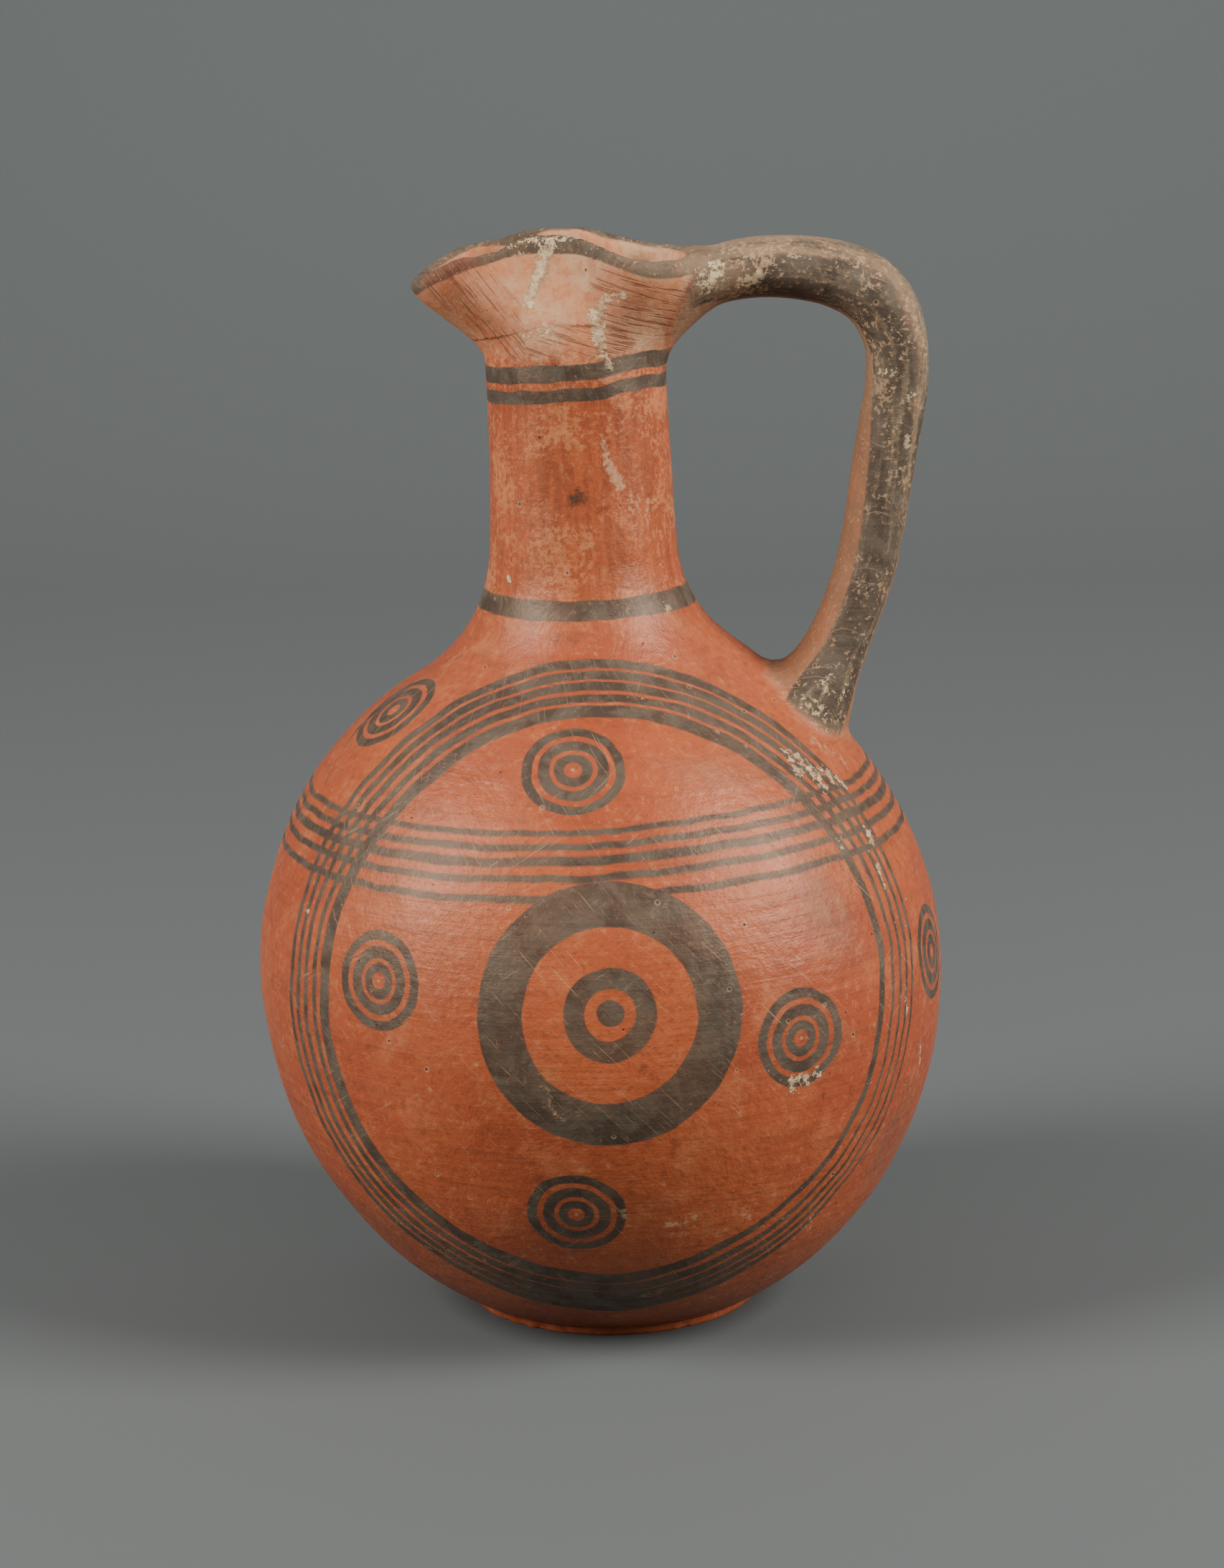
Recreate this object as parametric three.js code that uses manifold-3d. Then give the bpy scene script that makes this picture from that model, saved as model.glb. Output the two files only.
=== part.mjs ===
// A handmade terracotta pitcher, fired as one piece: a round hollow body on a low disc foot, a tall
// neck, a mouth pinched at both sides into a pouring lip, and a strap handle from rim to shoulder.
// Millimetres, +Z up. The origin is the centre of the flat underside, the handle stands along +X
// and the pouring lip points along -X. The shape is worked out upright and then leans as a whole.

import Module from 'manifold-3d';
import * as THREE from 'three';
import { mergeVertices } from 'three/addons/utils/BufferGeometryUtils.js';

const wasm = await Module();
wasm.setup();

// Wall, body and foot
const WALL = 4.6;
const FLOOR_THICKNESS = 6.4;
const BODY_RADIUS = 76;
const BELLY_HEIGHT = 77;
const FOOT_RADIUS = 32.2;
const FOOT_HEIGHT = 2.2;
const FOOT_BEVEL = 0.66;
const FOOT_LEDGE = 0.8;
const LEAN_TO_SPOUT_DEG = 1.17;

// Shoulder and neck
const SHOULDER_FILLET = 36;
const NECK_RADIUS = 19.5;
const NECK_BASE_RADIUS = 20.6;
const NECK_LENGTH = 33;

// Mouth: half widths of its plan, how far it reaches from the axis, and how its rim falls
const MOUTH_HEIGHT = 33.4;
const BACK_REACH = 28.6;
const BACK_HALF_WIDTH = 21;
const PINCH_HALF_WIDTH = 10.5;
const SPOUT_HALF_WIDTH = 15.8;
const SPOUT_REACH = 35.4;
const SPOUT_DROP = 9.4;
const BACK_DROP = 4.9;

// The mouth's proportions: the shares of its height between which it spreads, the share of the
// spout's reach where the pinch stands, and where and how sharply the rim falls to each end
const SPREAD_FROM = 0.24;
const SPREAD_TO = 0.97;
const PINCH_PLACE = 0.2;
const SPOUT_FALL_FROM = 0.12;
const SPOUT_FALL_POWER = 2.3;
const BACK_FALL_TO = 0.72;

// Handle: a strap with an oval section and spreading roots
const HANDLE_THICKNESS = 13.4;
const HANDLE_WIDTH = 21;
const HANDLE_CLEARANCE = 43.3;
const HANDLE_BELOW_RIM = 1.8;
const HANDLE_BEND = 19;
const HANDLE_SAG = 34;
const HANDLE_TUCK = 1.7;
const TOP_ROOT_DIP = 4.6;
const ROOT_REACH = 49.2;
const TOP_ROOT_WIDTH = 36;
const TOP_ROOT_SPREAD = 19;
const LOW_ROOT_WIDTH = 31;
const LOW_ROOT_INNER = 19;
const LOW_ROOT_OUTER = 10.6;
const LOW_ROOT_SPREAD = 20;
const ROOT_DEPTH = 12;

// How finely the curves are cut into flats
const SIDES_AROUND = 56;
const HANDLE_SIDES = 16;
const HANDLE_STEPS = 30;
const LIP_STEPS = 4;
const TURN_STEP = 0.02;

// Shoulder fillet, tangent to the body and to the foot of the neck
const filletCentreRadius = NECK_BASE_RADIUS + SHOULDER_FILLET;
const filletRise = Math.sqrt((BODY_RADIUS + SHOULDER_FILLET) ** 2 - filletCentreRadius ** 2);
const filletCentreHeight = BELLY_HEIGHT + filletRise;
const filletAngle = Math.atan2(filletRise, filletCentreRadius);

const neckTop = filletCentreHeight + NECK_LENGTH;
const rimCrest = neckTop + MOUTH_HEIGHT;

// The lower belly is half an ellipse that comes down just outside the foot
const footShare = (FOOT_RADIUS + FOOT_LEDGE) / BODY_RADIUS;
const bellyDepth = (BELLY_HEIGHT - FOOT_HEIGHT) / Math.sqrt(1 - footShare ** 2);

function smoothStep(value, from, to) {
  const share = THREE.MathUtils.clamp((value - from) / (to - from), 0, 1);
  return share * share * (3 - 2 * share);
}

// The wall's section from a height on the lower belly up to the top of the neck, set in from the
// outer face by an inset. Points are (radius, height).
function wallSection(inset, startHeight, steps) {
  const radius = BODY_RADIUS - inset;
  const depth = bellyDepth - inset;
  const start = -Math.asin((BELLY_HEIGHT - startHeight) / depth);
  const lower = new THREE.EllipseCurve(0, BELLY_HEIGHT, radius, depth, start, 0);
  const upper = new THREE.EllipseCurve(0, BELLY_HEIGHT, radius, radius, 0, filletAngle);
  const fillet = new THREE.EllipseCurve(
    filletCentreRadius, filletCentreHeight, SHOULDER_FILLET + inset, SHOULDER_FILLET + inset,
    Math.PI + filletAngle, Math.PI, true);
  const neck = new THREE.QuadraticBezierCurve(
    new THREE.Vector2(NECK_BASE_RADIUS - inset, filletCentreHeight),
    new THREE.Vector2(NECK_RADIUS - inset, filletCentreHeight + NECK_LENGTH / 2),
    new THREE.Vector2(NECK_RADIUS - inset, neckTop));
  const points = lower.getPoints(steps.belly);
  points.push(...upper.getPoints(steps.shoulder).slice(1));
  points.push(...fillet.getPoints(steps.fillet).slice(1));
  points.push(...neck.getPoints(steps.neck).slice(1));
  return points;
}

// Straight levels up the mouth, before the mouth is spread into its plan
function mouthLevels(radius, top, count) {
  const points = [];
  for (let i = 1; i <= count; i += 1) {
    points.push(new THREE.Vector2(radius, THREE.MathUtils.lerp(neckTop, top, i / count)));
  }
  return points;
}

// The mouth's plan at the rim: a closed curve with one point for each 20 degrees of turn, from the
// wide back lobe under the handle past the pinch to the pouring lip
function rimPlanPoints() {
  const side = [
    [BACK_REACH, 0],
    [BACK_REACH * 0.94, BACK_HALF_WIDTH * 0.45],
    [BACK_REACH * 0.81, BACK_HALF_WIDTH * 0.8],
    [BACK_REACH * 0.52, BACK_HALF_WIDTH],
    [BACK_REACH * 0.16, (BACK_HALF_WIDTH + PINCH_HALF_WIDTH) / 2],
    [-SPOUT_REACH * 0.14, PINCH_HALF_WIDTH],
    [-SPOUT_REACH * 0.43, (SPOUT_HALF_WIDTH + PINCH_HALF_WIDTH * 3) / 4],
    [-SPOUT_REACH * 0.73, SPOUT_HALF_WIDTH],
    [-SPOUT_REACH * 0.93, SPOUT_HALF_WIDTH * 0.66],
    [-SPOUT_REACH, 0],
  ];
  const mirrored = side.slice(1, -1).reverse().map(([x, y]) => [x, -y]);
  return [...side, ...mirrored].map(([x, y]) => new THREE.Vector3(x, y, 0));
}

const rimPlan = new THREE.CatmullRomCurve3(rimPlanPoints(), true, 'centripetal');

// Height of the rim over a place along the mouth: highest at the pinch, lower at both ends
function rimHeight(x) {
  const toSpout = Math.max(0, -x / SPOUT_REACH - SPOUT_FALL_FROM) / (1 - SPOUT_FALL_FROM);
  const toBack = smoothStep(x / BACK_REACH, 0, BACK_FALL_TO);
  return rimCrest - SPOUT_DROP * toSpout ** SPOUT_FALL_POWER - BACK_DROP * toBack;
}

// The outer line of the mouth, from the round neck at spread 0 to the rim's plan at spread 1
function mouthPlan(turn, spread) {
  const rim = rimPlan.getPoint(THREE.MathUtils.euclideanModulo(turn / (2 * Math.PI), 1));
  const round = new THREE.Vector3(Math.cos(turn), Math.sin(turn), 0).multiplyScalar(NECK_RADIUS);
  return round.lerp(rim, spread);
}

function mouthNormal(turn, spread) {
  const ahead = mouthPlan(turn + TURN_STEP, spread);
  const along = ahead.sub(mouthPlan(turn - TURN_STEP, spread)).normalize();
  return new THREE.Vector3(along.y, -along.x, 0);
}

// Spreads and pinches the turned shape above the neck, keeping its depth inside the outer face
function shapeMouth(point) {
  const level = (point.z - neckTop) / MOUTH_HEIGHT;
  if (level <= 0) {
    return point;
  }
  const radius = Math.hypot(point.x, point.y);
  if (radius < 0.001) {
    return point.set(-SPOUT_REACH * PINCH_PLACE, 0, point.z);
  }
  const turn = Math.atan2(point.y, point.x);
  const spread = smoothStep(level, SPREAD_FROM, SPREAD_TO);
  const height = neckTop + (rimHeight(mouthPlan(turn, 1).x) - neckTop) * level;
  const outer = mouthPlan(turn, spread);
  outer.addScaledVector(mouthNormal(turn, spread), radius - NECK_RADIUS);
  return point.set(outer.x, outer.y, height);
}

function eachPoint(geometry, change) {
  const position = geometry.getAttribute('position');
  const point = new THREE.Vector3();
  for (let i = 0; i < position.count; i += 1) {
    point.fromBufferAttribute(position, i);
    change(point);
    position.setXYZ(i, point.x, point.y, point.z);
  }
  return geometry;
}

function turned(section) {
  const geometry = new THREE.LatheGeometry(section, SIDES_AROUND);
  geometry.rotateX(Math.PI / 2);
  return eachPoint(geometry, shapeMouth);
}

// A closed mesh with shared corners, ready to be joined and cut
function solid(geometry) {
  geometry.deleteAttribute('normal');
  geometry.deleteAttribute('uv');
  const merged = mergeVertices(geometry, 1e-4);
  const corners = merged.index.array;
  const triangles = [];
  for (let i = 0; i < corners.length; i += 3) {
    const [a, b, c] = corners.slice(i, i + 3);
    if (a !== b && b !== c && c !== a) {
      triangles.push(a, b, c);
    }
  }
  return new wasm.Manifold(new wasm.Mesh({
    numProp: 3,
    vertProperties: Float32Array.from(merged.getAttribute('position').array),
    triVerts: Uint32Array.from(triangles),
  }));
}

function vesselWall() {
  const outer = wallSection(0, FOOT_HEIGHT, { belly: 10, shoulder: 10, fillet: 7, neck: 3 });
  const inner = wallSection(WALL, FLOOR_THICKNESS, { belly: 7, shoulder: 6, fillet: 4, neck: 2 });
  const lip = [];
  for (let i = 1; i < LIP_STEPS; i += 1) {
    const angle = Math.PI * i / LIP_STEPS;
    const radius = NECK_RADIUS - WALL / 2 + Math.cos(angle) * WALL / 2;
    lip.push(new THREE.Vector2(radius, rimCrest - WALL / 2 + Math.sin(angle) * WALL / 2));
  }
  const lipBase = rimCrest - WALL / 2;
  const section = [
    new THREE.Vector2(0, 0),
    new THREE.Vector2(FOOT_RADIUS, 0),
    new THREE.Vector2(FOOT_RADIUS, FOOT_HEIGHT - FOOT_BEVEL),
    ...outer,
    ...mouthLevels(NECK_RADIUS, lipBase, 9),
    ...lip,
    ...mouthLevels(NECK_RADIUS - WALL, lipBase, 6).reverse(),
    ...inner.reverse(),
    new THREE.Vector2(0, FLOOR_THICKNESS),
  ];
  return solid(turned(section));
}

// Everything inside the middle of the wall, which trims the roots of the handle
function wallCore() {
  const inset = WALL / 2;
  const middle = wallSection(inset, FLOOR_THICKNESS, { belly: 4, shoulder: 8, fillet: 5, neck: 2 });
  const section = [
    new THREE.Vector2(0, FLOOR_THICKNESS),
    ...middle,
    ...mouthLevels(NECK_RADIUS - inset, rimCrest + WALL * 2, 10),
    new THREE.Vector2(0, rimCrest + WALL * 2),
  ];
  return solid(turned(section));
}

// The handle's middle line: out from the rim, round a bend and down to the shoulder
function handleLine() {
  const level = rimCrest - HANDLE_BELOW_RIM - HANDLE_THICKNESS / 2;
  const reach = NECK_RADIUS + HANDLE_CLEARANCE + HANDLE_THICKNESS / 2;
  const rootHeight = BELLY_HEIGHT + Math.sqrt(BODY_RADIUS ** 2 - ROOT_REACH ** 2);
  const root = new THREE.Vector3(ROOT_REACH, 0, rootHeight);
  const start = new THREE.Vector3(BACK_REACH - ROOT_DEPTH, 0, level - TOP_ROOT_DIP);
  const bendStart = new THREE.Vector3(reach - HANDLE_BEND, 0, level);
  const bendCorner = new THREE.Vector3(reach, 0, level);
  const bendEnd = new THREE.Vector3(reach, 0, level - HANDLE_BEND);
  const rise = new THREE.Vector3((start.x + bendStart.x) / 2, 0, level);
  const sag = new THREE.Vector3(reach - HANDLE_TUCK, 0, bendEnd.z - HANDLE_SAG);
  const buried = root.clone().sub(sag).setLength(ROOT_DEPTH).add(root);
  const line = new THREE.CurvePath();
  line.add(new THREE.QuadraticBezierCurve3(start, rise, bendStart));
  line.add(new THREE.QuadraticBezierCurve3(bendStart, bendCorner, bendEnd));
  line.add(new THREE.QuadraticBezierCurve3(bendEnd, sag, root));
  line.add(new THREE.LineCurve3(root, buried));
  return line;
}

// How far a root has spread at a distance from the buried end: 1 where it meets the wall and 0 on
// the plain strap
function rootSpread(distance, spread) {
  return THREE.MathUtils.clamp(1 - (distance - ROOT_DEPTH) / spread, 0, 1) ** 2;
}

function handleStrap() {
  const line = handleLine();
  const length = line.getLength();
  const strap = new THREE.CylinderGeometry(1, 1, 1, HANDLE_SIDES, HANDLE_STEPS, false);
  return solid(eachPoint(strap, (point) => {
    const share = 0.5 - point.y;
    const centre = line.getPointAt(share);
    const along = line.getTangentAt(share);
    const top = rootSpread(length * share, TOP_ROOT_SPREAD);
    const low = rootSpread(length * (1 - share), LOW_ROOT_SPREAD);
    const width = HANDLE_WIDTH
      + (TOP_ROOT_WIDTH - HANDLE_WIDTH) * top + (LOW_ROOT_WIDTH - HANDLE_WIDTH) * low;
    const rootHalf = point.x > 0 ? LOW_ROOT_INNER : LOW_ROOT_OUTER;
    const halfThickness = HANDLE_THICKNESS / 2 + (rootHalf - HANDLE_THICKNESS / 2) * low;
    const inward = point.x * halfThickness;
    point.set(
      centre.x + along.z * inward,
      point.z * width / 2,
      centre.z - along.x * inward);
  }));
}

function lean(point) {
  point.x -= point.z * Math.tan(THREE.MathUtils.degToRad(LEAN_TO_SPOUT_DEG));
}

function pitcherGeometry() {
  const handle = handleStrap().subtract(wallCore());
  const mesh = vesselWall().add(handle).getMesh();
  const geometry = new THREE.BufferGeometry();
  geometry.setAttribute('position', new THREE.BufferAttribute(mesh.vertProperties, 3));
  geometry.setIndex(new THREE.BufferAttribute(mesh.triVerts, 1));
  eachPoint(geometry, lean);
  geometry.computeVertexNormals();
  return geometry;
}

const firedClay = new THREE.MeshStandardMaterial({
  color: 0xb9623a,
  roughness: 0.48,
  metalness: 0,
});

const pitcher = new THREE.Mesh(pitcherGeometry(), firedClay);
pitcher.name = 'pitcher';

const object = new THREE.Group();
object.add(pitcher);

export default object;
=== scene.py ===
import math

import bpy
import numpy as np
from mathutils import Matrix, Vector


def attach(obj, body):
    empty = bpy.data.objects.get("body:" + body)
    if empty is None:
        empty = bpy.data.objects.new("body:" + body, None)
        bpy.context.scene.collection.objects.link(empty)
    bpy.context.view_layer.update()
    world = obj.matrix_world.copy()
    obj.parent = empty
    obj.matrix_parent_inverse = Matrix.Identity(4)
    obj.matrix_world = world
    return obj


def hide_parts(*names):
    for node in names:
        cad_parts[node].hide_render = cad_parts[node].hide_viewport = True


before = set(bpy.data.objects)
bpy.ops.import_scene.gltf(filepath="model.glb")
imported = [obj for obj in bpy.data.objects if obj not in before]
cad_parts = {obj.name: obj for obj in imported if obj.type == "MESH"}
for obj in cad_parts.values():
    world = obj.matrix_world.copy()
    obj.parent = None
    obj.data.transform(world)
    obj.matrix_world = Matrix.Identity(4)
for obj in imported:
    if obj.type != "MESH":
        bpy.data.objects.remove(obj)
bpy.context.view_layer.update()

# Sizes of the jug, in millimetres, in its own upright frame
MM = 0.001
LEAN = math.tan(math.radians(1.17))
WALL = 4.6
FLOOR = 6.4
BODY_RADIUS = 76.0
BELLY_HEIGHT = 77.0
FOOT_RADIUS = 32.2
FOOT_HEIGHT = 2.2
FOOT_LEDGE = 0.8
SHOULDER_FILLET = 36.0
NECK_RADIUS = 19.5
NECK_BASE_RADIUS = 20.6
NECK_LENGTH = 33.0
MOUTH_HEIGHT = 33.4
BACK_REACH = 28.6
BACK_HALF_WIDTH = 21.0
PINCH_HALF_WIDTH = 10.5
SPOUT_HALF_WIDTH = 15.8
SPOUT_REACH = 35.4
SPOUT_DROP = 9.4
BACK_DROP = 4.9

fillet_radius = NECK_BASE_RADIUS + SHOULDER_FILLET
fillet_rise = math.sqrt((BODY_RADIUS + SHOULDER_FILLET) ** 2 - fillet_radius ** 2)
fillet_height = BELLY_HEIGHT + fillet_rise
neck_top = fillet_height + NECK_LENGTH
rim_crest = neck_top + MOUTH_HEIGHT
foot_share = (FOOT_RADIUS + FOOT_LEDGE) / BODY_RADIUS
belly_depth = (BELLY_HEIGHT - FOOT_HEIGHT) / math.sqrt(1 - foot_share ** 2)


def smooth_step(value, low, high):
    share = np.clip((value - low) / (high - low), 0.0, 1.0)
    return share * share * (3.0 - 2.0 * share)


def join(a, b, blend):
    """Two clays pressed together, with a soft fillet as wide as blend."""
    share = np.clip(0.5 + 0.5 * (b - a) / blend, 0.0, 1.0)
    return b + (a - b) * share - blend * share * (1.0 - share)


def cut(a, b, blend):
    return -join(-a, -b, blend)


def hand_waves(place, scale, seed):
    """Slow unevenness of hand work, about -1 to 1."""
    rng = np.random.default_rng(seed)
    total = np.zeros(len(place))
    for i in range(7):
        way = rng.normal(size=3)
        way *= (0.7 + 0.6 * rng.random()) / np.linalg.norm(way) / scale
        total += np.sin(place @ way * math.tau + rng.random() * math.tau)
    return total / 3.5


# The mouth's plan
def rim_plan_points():
    side = [
        (BACK_REACH, 0.0),
        (BACK_REACH * 0.94, BACK_HALF_WIDTH * 0.45),
        (BACK_REACH * 0.81, BACK_HALF_WIDTH * 0.8),
        (BACK_REACH * 0.52, BACK_HALF_WIDTH),
        (BACK_REACH * 0.16, (BACK_HALF_WIDTH + PINCH_HALF_WIDTH) / 2),
        (-SPOUT_REACH * 0.14, PINCH_HALF_WIDTH),
        (-SPOUT_REACH * 0.43, (SPOUT_HALF_WIDTH + PINCH_HALF_WIDTH * 3) / 4),
        (-SPOUT_REACH * 0.73, SPOUT_HALF_WIDTH),
        (-SPOUT_REACH * 0.93, SPOUT_HALF_WIDTH * 0.66),
        (-SPOUT_REACH, 0.0),
    ]
    mirrored = [(x, -y) for x, y in reversed(side[1:-1])]
    return np.array(side + mirrored)


def rim_curve(turns):
    """A closed centripetal spline through the plan's points; turns run from 0 to 1."""
    points = rim_plan_points()
    count = len(points)
    place = (turns % 1.0) * count
    first = np.floor(place).astype(int) % count
    share = (place - np.floor(place))[:, None]
    p0, p1, p2, p3 = (points[(first + k) % count] for k in (-1, 0, 1, 2))
    gap0, gap1, gap2 = (np.linalg.norm(b - a, axis=1)[:, None] ** 0.5
                        for a, b in ((p0, p1), (p1, p2), (p2, p3)))
    slope1 = ((p1 - p0) / gap0 - (p2 - p0) / (gap0 + gap1) + (p2 - p1) / gap1) * gap1
    slope2 = ((p2 - p1) / gap1 - (p3 - p1) / (gap1 + gap2) + (p3 - p2) / gap2) * gap1
    cube = 2 * p1 - 2 * p2 + slope1 + slope2
    square = 3 * p2 - 3 * p1 - 2 * slope1 - slope2
    return p1 + share * (slope1 + share * (square + share * cube))


def rim_height(x):
    to_spout = np.maximum(0.0, -x / SPOUT_REACH - 0.12) / 0.88
    to_back = smooth_step(x / BACK_REACH, 0.0, 0.72)
    return rim_crest - SPOUT_DROP * to_spout ** 2.3 - BACK_DROP * to_back


PLAN_TURNS = 720
PLAN_LEVELS = 41


def plan_tables():
    """Reach of the mouth's outer face by level of spread and by bearing, and the rim's x there."""
    turns = np.arange(PLAN_TURNS) / PLAN_TURNS
    rim = rim_curve(turns)
    circle = NECK_RADIUS * np.stack([np.cos(turns * math.tau), np.sin(turns * math.tau)], axis=1)
    reach = np.empty((PLAN_LEVELS, PLAN_TURNS))
    rim_x = np.empty((PLAN_LEVELS, PLAN_TURNS))
    for row, spread in enumerate(np.linspace(0, 1, PLAN_LEVELS)):
        line = circle + (rim - circle) * spread
        bearing = np.arctan2(line[:, 1], line[:, 0]) % math.tau
        order = np.argsort(bearing)
        wanted = turns * math.tau
        reach[row] = np.interp(wanted, bearing[order], np.hypot(*line[order].T), period=math.tau)
        rim_x[row] = np.interp(wanted, bearing[order], rim[order, 0], period=math.tau)
    return reach, rim_x


plan_reach, plan_rim_x = plan_tables()
plan_turn_slope = np.gradient(np.hstack([plan_reach[:, -1:], plan_reach, plan_reach[:, :1]]),
                              math.tau / PLAN_TURNS, axis=1)[:, 1:-1]
plan_spread_slope = np.gradient(plan_reach, 1 / (PLAN_LEVELS - 1), axis=0)


def look_up(table, spread, bearing):
    row = np.clip(spread, 0, 1) * (PLAN_LEVELS - 1)
    row0 = np.minimum(row.astype(int), PLAN_LEVELS - 2)
    row -= row0
    column = (bearing % math.tau) / math.tau * PLAN_TURNS
    column0 = column.astype(int) % PLAN_TURNS
    column = column - np.floor(column)
    column1 = (column0 + 1) % PLAN_TURNS
    low = table[row0, column0] * (1 - column) + table[row0, column1] * column
    high = table[row0 + 1, column0] * (1 - column) + table[row0 + 1, column1] * column
    return low * (1 - row) + high * row


# The handle, as stations down its middle line: x, height, half thickness, half width
HANDLE_STATIONS = np.array([
    (12.0, 220.0, 9.6, 11.0),
    (18.6, 224.0, 8.2, 12.5),
    (24.8, 227.5, 6.8, 13.0),
    (30.1, 229.7, 6.1, 12.4),
    (36.4, 231.2, 6.4, 11.0),
    (42.7, 231.7, 6.6, 10.6),
    (49.8, 231.3, 6.85, 10.5),
    (56.6, 230.0, 7.15, 10.5),
    (63.1, 227.0, 7.45, 10.6),
    (67.1, 222.4, 7.3, 10.7),
    (69.5, 215.1, 6.9, 10.6),
    (69.4, 206.6, 6.8, 10.5),
    (67.6, 197.0, 6.8, 10.4),
    (65.8, 186.6, 6.65, 10.3),
    (64.0, 176.8, 6.7, 10.3),
    (62.0, 167.6, 6.65, 10.4),
    (58.9, 158.4, 6.45, 10.8),
    (55.2, 149.6, 6.7, 11.8),
    (52.2, 143.6, 7.7, 13.2),
    (49.0, 138.0, 9.6, 15.0),
    (44.6, 131.5, 11.0, 16.5),
])
HANDLE_SAMPLES = 160
HANDLE_BATCH = 40000
FAR = 50.0


def smooth_stations(stations, count):
    """A smooth line through the stations, evenly spaced along its length."""
    x = np.arange(len(stations), dtype=float)
    slope = np.gradient(stations, axis=0)
    place = np.linspace(0, len(stations) - 1, count * 4)
    first = np.minimum(place.astype(int), len(stations) - 2)
    t = (place - x[first])[:, None]
    a, b, sa, sb = stations[first], stations[first + 1], slope[first], slope[first + 1]
    line = ((2 * t ** 3 - 3 * t ** 2 + 1) * a + (t ** 3 - 2 * t ** 2 + t) * sa
            + (-2 * t ** 3 + 3 * t ** 2) * b + (t ** 3 - t ** 2) * sb)
    run = np.concatenate([[0], np.cumsum(np.linalg.norm(np.diff(line[:, :2], axis=0), axis=1))])
    even = np.linspace(0, run[-1], count)
    return even, np.stack([np.interp(even, run, column) for column in line.T], axis=1)


handle_run, handle_line = smooth_stations(HANDLE_STATIONS, HANDLE_SAMPLES)
handle_way = np.gradient(handle_line[:, :2], axis=0)
handle_way /= np.linalg.norm(handle_way, axis=1)[:, None]


def near_handle(place):
    return (place[:, 0] > 10.0) & (place[:, 2] > 115.0) & (np.abs(place[:, 1]) < 32.0)


def handle_side(place, tell=False):
    """Distance outside the strap handle. Its inner face is narrower than its outer one."""
    flat = place[:, [0, 2]]
    nearest = np.empty(len(flat), dtype=int)
    for start in range(0, len(flat), HANDLE_BATCH):
        part = flat[start:start + HANDLE_BATCH]
        gaps = ((part[:, None, :] - handle_line[None, :, :2]) ** 2).sum(axis=2)
        nearest[start:start + HANDLE_BATCH] = gaps.argmin(axis=1)
    step = handle_run[1]
    way = handle_way[nearest]
    off = flat - handle_line[nearest, :2]
    along = np.clip((off * way).sum(axis=1), -step, step)
    run = np.clip(handle_run[nearest] + along, 0, handle_run[-1])
    middle = np.stack([np.interp(run, handle_run, handle_line[:, k]) for k in range(4)], axis=1)
    off = flat - middle[:, :2]
    out = off[:, 1] * way[:, 0] - off[:, 0] * way[:, 1]
    beyond = np.abs((off * way).sum(axis=1))
    sharp = np.where(out > 0, 2.5, 1.9)
    u = np.abs(out) / middle[:, 2]
    v = np.abs(place[:, 1]) / middle[:, 3]
    size = np.maximum((u ** sharp + v ** sharp) ** (1 / sharp), 1e-3)
    steep = size ** (1 - sharp) * np.hypot(u ** (sharp - 1) / middle[:, 2],
                                           v ** (sharp - 1) / middle[:, 3])
    side = (size - 1) / np.maximum(steep, 0.08)
    side = np.where(beyond > 0.01, np.hypot(np.maximum(side, 0), beyond) + np.minimum(side, 0),
                    side)
    return (side, run, out / middle[:, 2]) if tell else side


# The clay that the potter's thumb drew up from the shoulder to the handle's inner root
SMEAR_X = 37.0
SMEAR_HEIGHT = 149.0
SMEAR_RISE = 2.3


# Where the mouth's flare begins and ends, as shares of the height from the neck to the rim
FLARE_START = 0.24
FLARE_END = 0.97


def outer_side(place):
    """Distance outside the turned body, as if it were filled, and the height over the rim."""
    x, y, z = place.T
    radius = np.hypot(x, y)
    bearing = np.arctan2(y, x)
    squash = np.hypot(radius / BODY_RADIUS, (z - BELLY_HEIGHT) / belly_depth)
    steep = np.hypot(radius / BODY_RADIUS ** 2, (z - BELLY_HEIGHT) / belly_depth ** 2)
    lower = squash * (squash - 1) / np.maximum(steep, 1e-4)
    upper = np.hypot(radius, z - BELLY_HEIGHT) - BODY_RADIUS
    fillet = SHOULDER_FILLET - np.hypot(radius - fillet_radius, z - fillet_height)
    over_fillet = fillet_rise * radius < fillet_radius * (z - BELLY_HEIGHT)
    side = np.where(z < BELLY_HEIGHT, lower, np.where(over_fillet, fillet, upper))

    share = np.clip((z - fillet_height) / NECK_LENGTH, 0, 1)
    neck = NECK_BASE_RADIUS + (NECK_RADIUS - NECK_BASE_RADIUS) * share * (2 - share)
    side = np.where(z > fillet_height, radius - neck, side)

    level = (z - neck_top) / MOUTH_HEIGHT
    for _ in range(2):
        spread = smooth_step(level, FLARE_START, FLARE_END)
        over = look_up(plan_rim_x, spread, bearing)
        level = (z - neck_top) / (rim_height(over) - neck_top)
    spread = smooth_step(level, FLARE_START, FLARE_END)
    inside = np.clip((level - FLARE_START) / (FLARE_END - FLARE_START), 0, 1)
    spread_rate = (6 * inside * (1 - inside) / (FLARE_END - FLARE_START)
                   / (rim_height(over) - neck_top))
    reach = look_up(plan_reach, spread, bearing)
    turn_slope = look_up(plan_turn_slope, spread, bearing) / reach
    rise_slope = look_up(plan_spread_slope, spread, bearing) * spread_rate
    mouth = (radius - reach) / np.sqrt(1 + turn_slope ** 2 + rise_slope ** 2)
    side = np.where(level > 0, mouth, side)
    return side, z - rim_height(over)


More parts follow.
